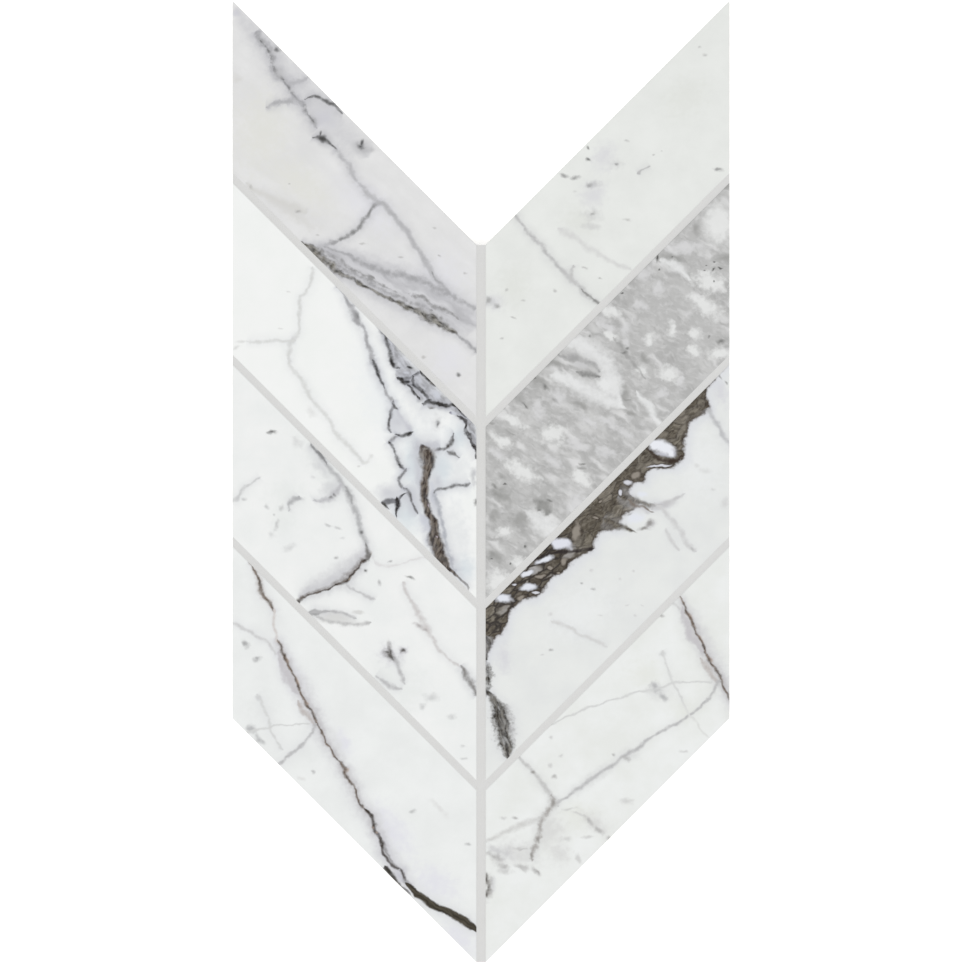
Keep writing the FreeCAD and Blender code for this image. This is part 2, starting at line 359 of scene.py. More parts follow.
# Tile bodies and glaze
# Under the print the tile is warm grey porcelain, bare on the sides and back. The print and its satin
# glaze cover the face and the eased edge round it.
BODY_TONE = (196, 190, 180)
BODY_SPECK = (160, 152, 142)
GLAZE_DEPTH = 0.42 * MM
GLAZE_FOOT = face_height - GLAZE_DEPTH


def finish_tile(marble, tile):
    tree = marble.tree
    bits = marble.noise(marble.solid, 1.6, 3.0, "Fac", roughness=0.7)
    body = mix_colour(tree, ramp(tree, bits, 0.58, 0.7), linear(*BODY_TONE), linear(*BODY_SPECK))
    glazed = maths(tree, "GREATER_THAN", marble.height, GLAZE_FOOT)
    colour = mix_colour(tree, glazed, body, marble.colour)
    ripple = marble.noise(marble.flat, 0.9, 3.0, "Fac", roughness=0.55)
    satin = ramp(tree, ripple, 0.0, 1.0, 0.30, 0.42)
    chalky = ramp(tree, bits, 0.0, 1.0, 0.72, 0.9)
    rough = add_node(tree, "Mix", {"Factor": glazed, "A": chalky, "B": satin}).outputs["Result"]
    grain = add_node(tree, "Mix", {"Factor": glazed, "A": bits, "B": ripple}).outputs["Result"]
    end_material(tree, colour, rough, grain, strength=0.12, depth=0.1, ior=1.45)
    cover(tile, marble.material)


# Upper left tile
# Pale grey, with a smoky chain of marks down from its top corner, thin lines that carry it on to the
# centre joint, and a shaded band with a dark olive heart across its lower half.
tile = Print("upper left marble", (231, 231, 231), (224, 224, 224), (186, 186, 191))
tile.wash((221, 221, 221), tile.streaks(-40, (34, 9), 0.45, 0.7), 0.6)
tile.spots((225, 225, 219), [(-134, 214, 24, 36, 0), (-112, 184, 38, 16, -35)], 0.8)
tile.spots((227, 227, 232), [(-70, 170, 34, 16, -45), (-28, 120, 24, 30, -20), (-20, 75, 14, 18, 0)], 0.8)
tile.vein((206, 206, 209), [
    (-148, 287, 3), (-139, 274, 5), (-130, 264, 6), (-118, 249, 8), (-100, 230, 9), (-84, 212, 7),
    (-72, 204, 5),
], hardness=0.0, broken=0.3, halo=0.0, opacity=0.8)
tile.spots((204, 204, 211), [(-96, 223, 9, 10, -40), (-150, 287, 4, 3, 0)], 0.7)
tile.spots((212, 211, 207), [(-118, 166, 26, 6, -32), (-150, 247, 4, 4, 0)], 0.6)
tile.vein((166, 166, 168), [
    (-138, 275.5, 1.1), (-134, 270, 1.7), (-129.5, 264, 1.5), (-127.5, 258, 1.2), (-126.5, 252, 1.4),
    (-122, 247, 1.6), (-118, 243, 1.4), (-115, 236, 1.2), (-109.5, 231.5, 1.3), (-105.5, 225, 1.2),
    (-101.5, 218, 1.1),
], halo=0.8, ragged=0.7, broken=0.6, hardness=0.0)
tile.vein((128, 128, 129), [
    (-135, 271, 0.3), (-129.5, 263, 0.6), (-126.6, 252, 0.5), (-120, 245, 0.7), (-115, 236.4, 0.5),
    (-109, 231, 0.8), (-103, 221, 0.4),
], broken=1.0, halo=0.0)
tile.vein((112, 112, 113), [
    (-126.8, 254, 0.4), (-126, 251.2, 1), (-123.5, 248.4, 0.9), (-120, 246.4, 0.4),
])
tile.vein((184, 184, 187), [
    (-119, 246, 1), (-113, 245.6, 1.4), (-106, 247.4, 0.8),
], hardness=0.0, halo=0.5, ragged=0.7, broken=0.6)
tile.vein((178, 178, 180), [
    (-130, 230.4, 0.8), (-124, 232.6, 1.3), (-118, 233.4, 1.5), (-111, 232, 1.2),
], hardness=0.0, halo=0.6, ragged=0.8, broken=0.8)
tile.spots((192, 192, 194), [
    (-97.4, 211, 9, 5.4, -25), (-73, 205, 8, 6, -10), (-125.4, 265, 4, 3, 0), (-124, 250, 6, 5, -40),
], 0.9, 0.0, 0.2)
tile.spots((128, 128, 129), [(-125.4, 264.9, 2, 1.5, 0)], 1.0)
tile.vein((108, 108, 108), [
    (-107.5, 235, 0.4), (-102.3, 236.2, 0.7), (-96.5, 234.6, 0.9), (-91.5, 231.6, 0.9),
    (-87.6, 228.4, 0.8), (-85.4, 226.2, 0.5),
], halo=0.7)
tile.vein((90, 90, 89), [
    (-103.6, 211.4, 0.5), (-99.4, 211.6, 1), (-96.4, 210.6, 1.5), (-93.4, 207.8, 0.9), (-89.4, 204, 0.6),
], halo=0.7)
tile.spots((72, 72, 71), [(-96.8, 211.2, 3, 2.2, -20), (-98.6, 213.8, 1.2, 2.4, 0)], 1.0)
tile.vein((186, 186, 188), [
    (-88.6, 202.6, 0.8), (-84.6, 198.3, 1), (-78.7, 190, 1.2), (-74, 181.7, 1.1), (-68, 175.8, 1.3),
    (-63.5, 170, 1.2),
], halo=0.6, ragged=0.6, broken=0.7, hardness=0.0)
tile.spots((186, 186, 188), [(-70, 203.8, 6, 2, 0), (-75, 206.6, 3, 3, 0)], 0.8)
tile.spots((74, 74, 75), [(-73.4, 205.2, 3.4, 2, 10), (-73, 206.8, 1.6, 3.4, 0)], 1.0)
tile.spots((150, 149, 148), [(-141, 181, 2.4, 1.3, -50), (-112, 166, 2.6, 1.6, -10)], 0.8)
tile.vein((212, 211, 207), [
    (-143, 183, 1.6), (-133, 176), (-120, 171, 2), (-108, 166, 1.6),
], hardness=0.0, halo=0.2, opacity=0.7)
tile.vein((142, 142, 142), [
    (-63, 170.6, 1.1), (-67, 166.5, 1), (-71.6, 160.4, 1.2), (-77.5, 153.6, 1), (-84, 149.6, 1.1),
    (-91, 146.6, 1), (-99, 143.6, 1.1),
], halo=0.6, broken=0.6)
tile.vein((182, 182, 184), [
    (-63, 171, 1.4), (-58.6, 169.6, 1.3), (-51.5, 160.6, 1.4), (-44.5, 151.4, 1.4), (-38.6, 142, 1.3),
    (-32.7, 132.4, 1.4), (-25.6, 121.8, 1.5), (-18, 114, 1.4),
], broken=0.3)
tile.vein((140, 140, 141), [
    (-30, 129, 0.4), (-25.6, 121.8, 0.7), (-20, 115.6, 0.8), (-17, 112.6, 0.5),
], halo=0)
tile.vein((206, 206, 210), [
    (-100, 143, 4), (-82, 134, 9), (-60, 124, 12), (-34, 112, 12), (-8, 100, 9),
], hardness=0.0, broken=0.0, halo=0.0, opacity=0.7)
shaded = tile.mottle((180, 180, 183), (212, 212, 215), -32, (18, 5))
tile.vein(shaded, [
    (-102, 143, 2.5), (-93, 139.4, 4), (-82, 134, 6), (-66, 126.6, 7.6), (-50, 119.4, 8.4),
    (-34, 112.4, 8), (-18, 103.6, 6.6), (-5, 98, 5),
], hardness=0.0, broken=0.0, halo=0.0, opacity=0.9)
tile.vein((162, 162, 164), [
    (-96, 143.4, 0.7), (-84, 139.4, 0.9), (-74, 134.6, 1), (-62, 129.8, 1.3), (-47, 126.8, 1.9),
    (-36, 122.8, 1.7), (-26, 117.4, 1.8), (-16, 112.6, 1.5), (-4, 106.4, 1),
], broken=0.6, opacity=0.85)
for points in (
    [(-104, 144.6, 0.8), (-97, 140, 1), (-86, 134.4, 1), (-76, 129, 0.8), (-66, 124.6, 0.6)],
    [(-94, 136, 0.8), (-84, 130.4, 1), (-74, 125.6, 1), (-64, 122, 0.8), (-52, 117, 0.6)],
    [(-70, 122.4, 0.8), (-60, 117, 1), (-50, 113.2, 1), (-40, 108.6, 1), (-30, 105.4, 0.6)],
    [(-44, 116, 0.6), (-34, 111, 1), (-24, 105.6, 1), (-14, 101, 0.6)],
):
    tile.vein((128, 127, 126), points, broken=1.0, halo=0.0, opacity=0.75)
heart = tile.mottle((66, 64, 58), (150, 147, 140), -33, (5, 1.8))
tile.vein(heart, [
    (-109.6, 146.8, 0.6), (-106, 144, 2), (-101, 139.4, 2.6), (-95.4, 134.6, 2.2), (-88, 129.2, 1.5),
    (-81, 125, 1.2), (-74, 121.2, 1.1), (-66, 116.8, 0.8), (-58, 113, 0.9), (-51, 109.6, 1.2),
    (-44, 106.2, 1.7), (-36, 103, 2.5), (-28, 98.8, 2.6), (-21, 94.8, 2), (-15.4, 91.8, 1),
], hardness=0.3, halo=0.8, ragged=0.3)
tile.spots((44, 42, 38), [
    (-71.6, 120, 2.2, 1.3, -25), (-30, 100.4, 2.2, 1, -30), (-42, 105.6, 2.4, 1, -30),
    (-103, 142.4, 2.4, 1.1, -40), (-17.4, 93, 1.8, 1.1, -20), (-88, 129, 2, 0.9, -30),
], 0.8)
tile.vein((164, 164, 166), [
    (-14.4, 90.6, 0.7), (-9, 86, 0.9), (-5.6, 82.6, 1.2), (-3, 80, 0.9),
], halo=0.5)
tile.spots((118, 118, 118), [(-13.5, 65.5, 2.6, 1.5, -20)], 0.9)
tile.spots((182, 181, 179), [
    (-72, 146.5, 3, 1, 0), (-100, 151, 1.8, 1, 0), (-25, 139, 1.6, 1, -30), (-50, 138, 2, 1, 0),
    (-10, 128, 1.6, 1, 0), (-28, 156, 1.5, 1, 0), (-35, 77, 2, 1.2, 0), (-118, 183, 1.4, 0.9, 0),
], 0.7)
finish_tile(tile, "tile_left_1")


# Upper right tile
# The palest of the greys, with one thin line that drops from the notch to the joint below, a fainter
# one beside it, and small dark spots in a loose row above them.
tile = Print("upper right marble", (234, 236, 233), (229, 231, 228), (213, 214, 214))
tile.spots((218, 218, 221), [(75, 199, 9, 13, -30), (69, 176, 10, 12, -20), (8, 110, 9, 7, 0)], 0.8)
tile.spots((196, 197, 198), [(6.6, 109, 5.4, 3.6, -10), (69, 182.4, 5, 3.4, 0)], 0.6)
tile.spots((224, 226, 221), [(60, 160, 16, 12, -30), (20, 120, 14, 18, 0), (125, 235, 20, 16, 30)], 0.7)
tile.vein((188, 188, 188), [
    (21.7, 163.8, 0.8), (27.4, 155.3, 0.9), (31.7, 150.3), (38.1, 143.8, 1.1), (41.7, 138.1, 1),
    (46.7, 132.4, 1.1), (51, 128.1, 1.4), (54.6, 123.8, 1.3), (59.6, 120.3), (63.9, 115.3, 1.5),
    (68.9, 111.7, 1.4), (72, 109.2, 1.2),
], hardness=0.0, halo=0.7)
tile.vein((140, 140, 138), [
    (62, 117.5, 0.3), (65, 114.8, 0.5), (68.9, 111.7, 0.8), (72.5, 108.8, 0.8),
], halo=0.0)
tile.vein((196, 196, 195), [(56.5, 131, 1), (55, 127), (58, 121, 0.8)], hardness=0.0)
tile.vein((212, 212, 211), [
    (50, 154, 1.8), (58, 149, 1.4), (65.3, 143), (71, 139.6), (76.7, 136.7, 1.2), (83.9, 133.4, 1),
    (91, 131, 0.8),
], hardness=0.0, halo=0.2, opacity=0.8)
tile.spots((112, 112, 112), [
    (66.1, 204.1, 1.4, 1.6, 0), (65.6, 197.9, 2.6, 1.4, -35), (83.6, 194.5, 1.8, 1.4, 0),
    (97.1, 189.8, 1.8, 1.2, 0),
], 0.9)
tile.spots((148, 148, 148), [
    (51, 187.6, 4.6, 1.7, -8), (57.5, 186.7, 4, 1.5, 0), (145.6, 190.9, 4, 1.7, 0),
    (67, 181.5, 2.4, 1.7, 0),
], 0.85)
tile.spots((196, 196, 197), [
    (83.6, 194.5, 5, 4, 0), (69.5, 182, 6, 3, 15), (68, 163, 8, 5, -10), (66.7, 157, 9, 2.6, 0),
    (57.7, 177.3, 1.6, 1.2, 0), (5, 110.3, 4, 4, 0),
], 0.5)
tile.vein((190, 190, 190), [(97, 190, 0.8), (99, 191.5, 0.5), (102, 193, 0.5)], hardness=0.0)
tile.spots((156, 156, 154), [
    (68.4, 163.4, 2.2, 1.4, 0), (72.9, 124.8, 1.8, 1.2, 0), (9.9, 107.8, 2.4, 1.6, -20),
    (4.6, 111.3, 2.6, 3.4, 0),
], 0.7)
tile.spots((192, 192, 190), [
    (89.6, 160.3, 3, 1.4, 0), (63.9, 131, 2.6, 1, -15), (25.6, 111, 2.4, 1.2, 0),
    (19.6, 100.3, 3, 1, -20), (15.3, 118, 1.6, 1, 0), (46, 117.4, 2, 1.6, -40), (12.4, 87.1, 1.6, 1.2, 0),
    (89.9, 208.8, 1.6, 1, 0), (106, 200.5, 1.5, 0.9, 0), (111, 202.6, 1.3, 0.9, 0),
    (137.4, 262, 1.8, 1, 0), (133.9, 265.5, 1.6, 1, 0),
], 0.8)
finish_tile(tile, "tile_right_1")


# Second left tile
# Nearly white, with one long faint loop on the left. On the right two dark veins come down from the
# joint and knot together, and the thickest of them runs on brown and black to the lower joint.
tile = Print("second left marble", (244, 245, 244), (241, 243, 241), (192, 194, 202))
tile.spots((236, 239, 241), [(-60, 50, 16, 50, 20), (-25, 15, 20, 40, 20)], 0.7)
tile.spots((229, 231, 232), [
    (-36, 44, 22, 9, -45), (-34, 28, 12, 9, 0), (-14, 6, 12, 16, 0), (-13, -34, 10, 28, 12),
], 0.9)
tile.spots((212, 220, 225), [
    (-42, 10, 9, 26, 0), (-24, 8, 8, 15, 0), (-13, 28, 9, 11, 0), (-45, -20, 14, 16, 0),
    (-10, -54, 10, 10, -45),
], 0.8, 0.0, 0.15)
tile.spots((196, 197, 204), [
    (-56, -6, 13, 6, 0), (-42, -10, 7, 12, 0), (-40, 21, 5, 10, 0), (-51, 36, 7, 7, 0),
    (-38, 5, 4, 22, 5), (-27, 0, 5, 7, 0),
], 0.7, 0.0, 0.15)
tile.vein((214, 215, 213), [
    (-103, 131, 0.9), (-103.7, 124.7), (-107.3, 116), (-110.9, 109), (-111.9, 100.4), (-111.6, 93.3),
    (-114.4, 87.6, 1.2), (-117, 83.3), (-117.6, 74.7, 1),
], hardness=0.0, halo=0.2)
tile.vein((216, 217, 215), [
    (-117.6, 74.7, 1), (-116.6, 70.4), (-111.6, 64.7), (-107.3, 57.5), (-103.7, 50.2), (-98.7, 44.5),
    (-93.7, 38.8, 0.9), (-88.7, 30.2, 1.1), (-81.6, 22.3, 1.3), (-75.9, 15.2, 1.1), (-72.3, 10.9, 0.9),
], hardness=0.0, halo=0.2)
tile.vein((224, 225, 223), [(-72.3, 10.9, 1), (-69, 12.5), (-67.3, 16, 0.8)], hardness=0.0, halo=0.1)
tile.vein((216, 217, 215), [
    (-143, 86, 0.8), (-130, 86.4), (-114.4, 86.4),
], hardness=0.0, broken=0.6, halo=0.2)
tile.spots((205, 205, 203), [
    (-147.3, 86.1, 4, 1.6, 5), (-150, 82.6, 3, 1.8, 0), (-122.3, 94, 2, 1, 0), (-118.7, 116, 2, 1, 0),
    (-75, 9, 1.3, 1, 0),
], 0.6)
tile.spots((212, 212, 211), [(-104, 42, 5, 3, -40), (-27, 36, 4, 6, 0)], 0.5)
tile.vein((166, 166, 168), [
    (-88, 119, 0.6), (-84.4, 115.4, 0.8), (-80.9, 109, 1.1), (-79, 104, 1.5), (-75.1, 97.6, 1.3),
    (-71.6, 91.8, 1), (-69.4, 84.7), (-67.3, 78.3, 1.1), (-65.6, 71, 1.2), (-62.5, 64.5, 1),
    (-60, 58.5, 0.9), (-57, 53, 0.9), (-54.6, 48.5, 1),
], halo=0.6)
tile.vein((76, 76, 76), [
    (-66.4, 74, 0.5), (-65.4, 70.4, 0.9), (-63, 65.4, 0.7), (-61, 61, 0.8), (-59.4, 57, 0.4),
])
tile.spots((130, 130, 131), [(-76, 101.5, 1.8, 4.6, 35)], 0.9)
tile.vein((98, 97, 97), [
    (-54.4, 49, 0.7), (-54.8, 44, 0.9), (-55.4, 39, 0.8), (-56.4, 35, 1), (-56.2, 32.4, 1.1),
    (-55, 30.6, 0.6),
], halo=0.7)
tile.vein((96, 95, 95), [(-54.6, 47.6, 0.6), (-53.4, 45, 0.7), (-52, 43.8, 0.4)])
tile.vein((202, 203, 209), [(-52, 42.6, 0.8), (-47.6, 37.6, 1), (-43.6, 32.6, 1)], hardness=0.0)
tile.vein((128, 127, 127), [(-56.2, 24, 0.8), (-54, 26.2, 0.9), (-51.4, 28.4, 0.9)], halo=0.6)
tile.vein((56, 55, 52), [
    (-52.4, 29, 0.6), (-49.4, 28.7, 1.4), (-46, 29.5, 1), (-43.4, 30.4, 1), (-41.9, 31, 0.4),
], hardness=0.4, halo=0.7)
tile.vein((94, 93, 93), [
    (-56.2, 24, 0.8), (-54.4, 21.5, 0.9), (-53.4, 18.5, 0.8), (-51.5, 14.5, 0.9), (-50, 10.4, 1),
    (-48, 8.4, 0.7), (-46.4, 7.2, 0.7),
], halo=0.7)
tile.spots((52, 52, 52), [(-49.9, 10.4, 1.3, 1, 0), (-56, 24, 1.2, 0.9, 0)], 0.9, 0.1)
tile.vein((132, 132, 134), [
    (-46.3, 7.4, 0.7), (-48.2, 4.4, 0.8), (-50.2, 1.4, 0.8), (-49.6, -2, 0.9), (-47.4, -4.6, 0.9),
], halo=0.7)
tile.vein((104, 103, 104), [
    (-47.6, -4.4, 0.8), (-45.4, -5.6, 1.1), (-43.8, -8.2, 0.9), (-42.4, -12, 0.8), (-41, -15.6, 0.7),
    (-39.6, -19, 0.5),
], halo=0.7)
tile.vein((50, 47, 44), [
    (-46.8, -7.4, 0.5), (-49, -9, 0.9), (-51.4, -10.7, 1.7), (-54.4, -11.2, 1.9), (-57.4, -11.8, 2),
    (-60, -13, 1.6),
], hardness=0.5, halo=0.7, broken=0.2)
tile.vein((50, 47, 44), [
    (-51.8, -10.4, 1.6), (-51.4, -14, 1.4), (-51.6, -18, 0.9), (-51.4, -21, 0.4),
], hardness=0.4, halo=0.6, broken=0.2)
tile.vein((72, 70, 66), [(-60, -13, 1), (-58.6, -15, 0.8), (-57.2, -16, 0.5)])
grey_fill = tile.mottle((146, 146, 148), (204, 206, 212), -50, (7, 3))
tile.vein(grey_fill, [
    (-62, 93, 1), (-57.4, 86.6, 2.2), (-53, 80, 3.2), (-49.6, 74.6, 4), (-46, 69, 4.4), (-42, 64, 4),
], hardness=0.2, halo=0.4, broken=0.0)
tile.vein(grey_fill, [
    (-49.6, 67, 2.4), (-44, 63.4, 4), (-38, 60, 5.6), (-33, 55, 5.8), (-27, 50, 4.8), (-20, 46, 3.4),
    (-13, 43, 2.6), (-7.4, 36.4, 2.6), (-4.4, 27, 2.4), (-3, 20, 1.6),
], hardness=0.3, halo=0.5, broken=0.0)
tile.spots((138, 137, 139), [
    (-37.6, 51.4, 2.2, 3, -30), (-40.8, 55.6, 3, 2, -20), (-39, 64.6, 3.4, 1, 10), (-36, 60, 3, 1.4, -30),
    (-30.6, 46, 3.6, 1.6, -8), (-22, 45.4, 5, 1.2, -5), (-51, 76, 2, 4, 35), (-8.6, 36.4, 3, 1.8, -45),
    (-5, 26, 1.6, 5, 10),
], 0.8)
tile.spots((206, 209, 217), [
    (-27, 53, 4, 2.4, -45), (-36.4, 55, 2.4, 1.4, -35), (-46.4, 66.4, 2.4, 1, -10), (-17, 42.2, 3, 1, 10),
], 0.9, 0.2)
tile.vein((72, 71, 69), [
    (-60, 90.6, 0.5), (-57.8, 86, 0.9), (-56.8, 81, 1), (-55.8, 77, 1.3), (-54.2, 73.2, 1.5),
    (-52, 70.6, 1.1), (-50, 69.8, 0.5),
], halo=0.7, ragged=0.4)
for points in (
    [(-50, 63.6, 0.5), (-45.4, 63.7, 0.8), (-41.4, 64.4, 0.8), (-38.2, 66, 0.8), (-36, 67.6, 0.6)],
    [(-50, 63.4, 1), (-47.4, 60.8, 1.6), (-44.4, 59.4, 1.2), (-41.4, 59.4, 1.3), (-38.6, 58, 1.2),
     (-35.8, 56.2, 1), (-33.6, 53.4, 1.1), (-32.8, 49, 1.3)],
    [(-41.6, 59.6, 0.7), (-42.2, 62, 0.8), (-41.6, 64.2, 0.5)],
    [(-36.4, 67.6, 0.6), (-34.4, 65.4, 1), (-31.4, 62, 1.1), (-28.2, 58.7, 0.6)],
    [(-35.6, 47.4, 0.9), (-32, 48.6, 1.3), (-28, 48.2, 1.2), (-24, 47, 1), (-20, 46.2, 1.1),
     (-17, 46.8, 1), (-14, 44.4, 0.8), (-10, 40.2, 0.6)],
    [(-44.8, 59, 0.7), (-42.2, 56.4, 0.8), (-40.2, 53.6, 0.8), (-38, 51.4, 0.6)],
):
    tile.vein((62, 60, 58), points, hardness=0.4, halo=0.6, broken=0.35, ragged=0.5)
tile.spots((48, 46, 43), [
    (-44.4, 70, 3, 1.2, -5), (-45.6, 61.8, 3, 1.5, -15), (-41.4, 58.8, 2.6, 1.5, -25),
    (-32.4, 62.6, 3.4, 1.3, -42), (-54.4, 73.6, 1.3, 2.8, 25), (-12.6, 39.6, 3.4, 1.4, -28),
    (-48.8, 63.2, 1.6, 1, 0), (-24, 47, 3, 1, -5),
], 0.95, 0.2)
tile.spots((112, 108, 104), [
    (-30.4, 60, 2.6, 1.2, -35), (-31.2, 45.2, 2.4, 1, -10), (-7.4, 35, 1.4, 1.4, 0),
], 0.8)
tile.spots((120, 118, 134), [(-19, 41.8, 1.1, 1.1, 0)], 0.9)
tile.vein((52, 48, 44), [
    (-14.6, 40.6, 0.5), (-11.8, 39.2, 1.3), (-10, 37.4, 1), (-9.6, 34, 0.7), (-9, 31.4, 1.3),
    (-7.4, 28.4, 1.4), (-6.4, 26.2, 0.7), (-5, 23.4, 0.9), (-3.7, 20.8, 1.3), (-3.4, 17.8, 0.9),
    (-3.2, 14.6, 0.7),
], hardness=0.45, halo=0.5)
tile.spots((178, 180, 184), [(-27, 35.6, 2.2, 3.4, -20)], 0.7)
tile.spots((122, 122, 122), [(-26.8, 35.4, 1, 2, -20)], 0.9)
tile.vein((204, 205, 210), [(-38, 23.6, 1.6), (-33, 22.8, 2), (-27, 22, 1.6)], hardness=0.0)
tile.vein((80, 78, 75), [
    (-28.2, 19.6, 0.5), (-25, 20.8, 1), (-22, 21, 0.9), (-20, 22.6, 1.1), (-18.3, 25.2, 1.3),
    (-17, 28, 1), (-16.6, 29.6, 0.4),
], halo=0.7)
tile.vein((104, 103, 102), [
    (-20.2, 19.2, 0.5), (-18.4, 18, 1.1), (-16.8, 17, 0.7), (-13.6, 15, 0.4),
], halo=0.6)
tile.vein((206, 208, 216), [
    (-36, -22, 3), (-33, -26, 4), (-30, -34, 4), (-27, -42, 3),
], hardness=0.0, halo=0.0)
tile.spots((206, 209, 217), [(-29.6, -9, 2.4, 12, 8), (-34, -24, 4.4, 4.4, 0)], 0.9, 0.1)
tile.vein((172, 175, 181), [
    (-28.6, -6.6, 1), (-27, -12, 1.2), (-25.3, -18, 1.2), (-23.6, -25, 1.1), (-22.3, -32, 1.1),
    (-21, -40, 1), (-18.4, -48, 0.8), (-15, -54, 0.6),
], hardness=0.0, halo=0.6)
tile.spots((172, 171, 173), [(-35, 21, 6, 3, -5), (-29, 19.6, 4, 2, 0)], 0.8)
heart = tile.mottle((58, 50, 43), (122, 113, 104), 78, (6, 1.6), 0.4, 0.62)
tile.vein(heart, [
    (-36, 22, 1.6), (-34.6, 18.6, 4), (-32.8, 14.4, 4.7), (-32.2, 10, 4), (-32.9, 5, 3.1),
    (-34.7, 0, 2.8), (-34.6, -5, 2.3), (-34.4, -10, 2.3), (-33.3, -15, 2.1), (-31.8, -19, 2.1),
    (-29.8, -22, 2.1), (-29, -27, 2.6), (-29.2, -32, 3.6), (-27.8, -37, 3.8), (-26, -42, 3.8),
    (-24.1, -47, 3.3), (-21, -51, 2.1), (-17, -55.5, 1.2), (-12.5, -60.5, 0.8), (-8, -65.4, 0.6),
], hardness=0.5, broken=0.1, halo=0.9, ragged=0.2)
tile.spots((150, 146, 142), [(-36.4, 16.4, 2, 4, 10), (-34, 20, 2.4, 1.2, 0)], 0.8)
tile.spots((34, 28, 24), [
    (-30, 12.6, 1.8, 4.4, 8), (-31.6, 4, 1.2, 3, -15), (-35, -8, 1, 4, 5), (-32.6, -18.6, 2.4, 1, -20),
    (-30.8, -34, 0.9, 6, 15), (-26.6, -28, 1, 3, 0), (-22, -48, 1.4, 3.4, 35),
], 0.6)
tile.spots((112, 104, 92), [(-34.4, -2, 1, 3, 0), (-27, -38, 1, 4, 15)], 0.6)
tile.spots((196, 186, 196), [(-27.4, -33.4, 1.1, 0.6, -30), (-32.4, -14, 0.6, 1.8, 10)], 0.8)
tile.vein((120, 120, 121), [
    (-28.2, -7, 0.5), (-25.6, -4.7, 0.8), (-22, -3.5), (-17, -2.7), (-13, -2.1, 0.9), (-9, -1.8, 0.9),
    (-7.4, -1, 0.5),
], halo=0.6)
tile.spots((190, 191, 194), [(-4.4, 3, 2.2, 8, 0)], 0.8)
tile.spots((108, 107, 106), [(-3.8, -12.4, 1.6, 3, 0)], 0.9)
finish_tile(tile, "tile_left_2")


# Second right tile
# Storm grey: streaks that fall to the right at about thirty five degrees, pale clouds torn through them,
# and a scatter of almost black specks.
tile = Print("second right marble", (201, 201, 200), (187, 187, 186), (178, 178, 177), wander=1.6)
tile.wash((168, 168, 167), tile.streaks(-34, (22, 9), 0.42, 0.66), 0.6)
tile.wash((172, 172, 171), tile.streaks(-36, (8, 4), 0.46, 0.7), 0.6)
rim, lump = tile.rubble(-33, (13, 5.4))
pale = ramp(tile.tree, rim, 0.0, 0.4, curve="SMOOTHSTEP")
pale = maths(tile.tree, "MULTIPLY", pale, ramp(tile.tree, lump, 0.46, 0.66))
tile.wash((226, 226, 226), pale, 0.8)
tile.spots((187, 187, 186), [
    (110, 108, 24, 17, 30), (130, 92, 20, 15, 0), (98, 88, 14, 12, 0), (112, 62, 16, 10, 0),
    (126, 152, 12, 7, 20),
], 0.85, 0.3)
tile.wash((216, 216, 216), tile.streaks(-24, (5, 3), 0.48, 0.74), 0.6)
tile.wash((156, 156, 155), tile.streaks(-38, (4, 1.8), 0.55, 0.8), 0.4)
tile.spots((156, 156, 154), [
    (12, -8, 10, 6, -25), (24, -24, 8, 8, 0), (38, -15, 9, 6, -30), (8, -22, 5, 9, 0),
    (36, 62, 8, 5, -40), (24, 50, 7, 4, -48), (44, 72, 8, 3, -15), (9, -46, 7, 5, 0),
    (150, 137, 10, 4, 0), (118, 137, 12, 4, -10), (88, 54, 4, 8, 20), (92, 41, 6, 2, -20),
    (60, 47, 9, 2, -12), (100, 76, 6, 3, -40), (151, 181, 6, 4, 0), (132, 156, 3, 5, 0),
], 0.8, 0.1, 0.3)
tile.spots((233, 234, 233), [(145.6, 158, 11.4, 15.4, 6)], 0.9, 0.35, 0.25)
tile.spots((232, 233, 232), [
    (139.8, 122.4, 12, 8, -8), (137.6, 107.6, 14, 6.4, -30), (79.4, 104.6, 9, 4.4, -12),
    (103.8, 87.4, 3.6, 5.6, -10), (117.2, 94.4, 2.8, 6.6, 6), (131.6, 90.6, 5, 4.4, -35),
    (130.4, 79.8, 4.6, 4.6, -20), (146, 78.4, 7.4, 4.8, 10), (115, 66, 9.4, 5.8, -30),
    (97.8, 68.4, 5.6, 4, -40), (79.4, 90, 6, 3, -25), (43.8, 29, 10.6, 7.2, -4),
    (19.6, 38.2, 13, 3.6, -26), (25, 6.4, 15, 5.4, -30), (61.6, 2, 9.4, 6, -48), (14.5, -31.3, 7, 4.2, 0),
    (11, -62, 10, 10, 0), (13, 25, 9.4, 3.4, -30), (24, -50, 6, 5, -20),
], 0.88, 0.28, 0.5)
tile.spots((217, 217, 218), [
    (124, 143.6, 15, 5.6, 6), (100, 128, 6, 6, 0), (89, 94.4, 4.8, 4.6, 0), (108.6, 119, 4, 5.4, 0),
    (77, 96, 10, 3.4, -28), (88.4, 85.8, 3.4, 4.8, 0), (98, 108, 6, 3.6, 0), (35.5, 44, 5, 8, 0),
    (47, 52, 5.4, 6.4, 0), (66, 38, 10, 3.2, -32), (77, 37, 10, 3.4, -20), (10.4, 17.5, 9, 3.6, -30),
    (44, 13, 9, 4, -35), (60, 22, 8, 3.4, -20), (58, -14, 9, 6, 40), (123, 60.7, 3.6, 5, 0),
    (110.7, 53.7, 6, 3.6, 0), (88, 30, 8, 3.6, -30), (76, 18, 8, 5, -30),
], 0.8, 0.2, 0.5)
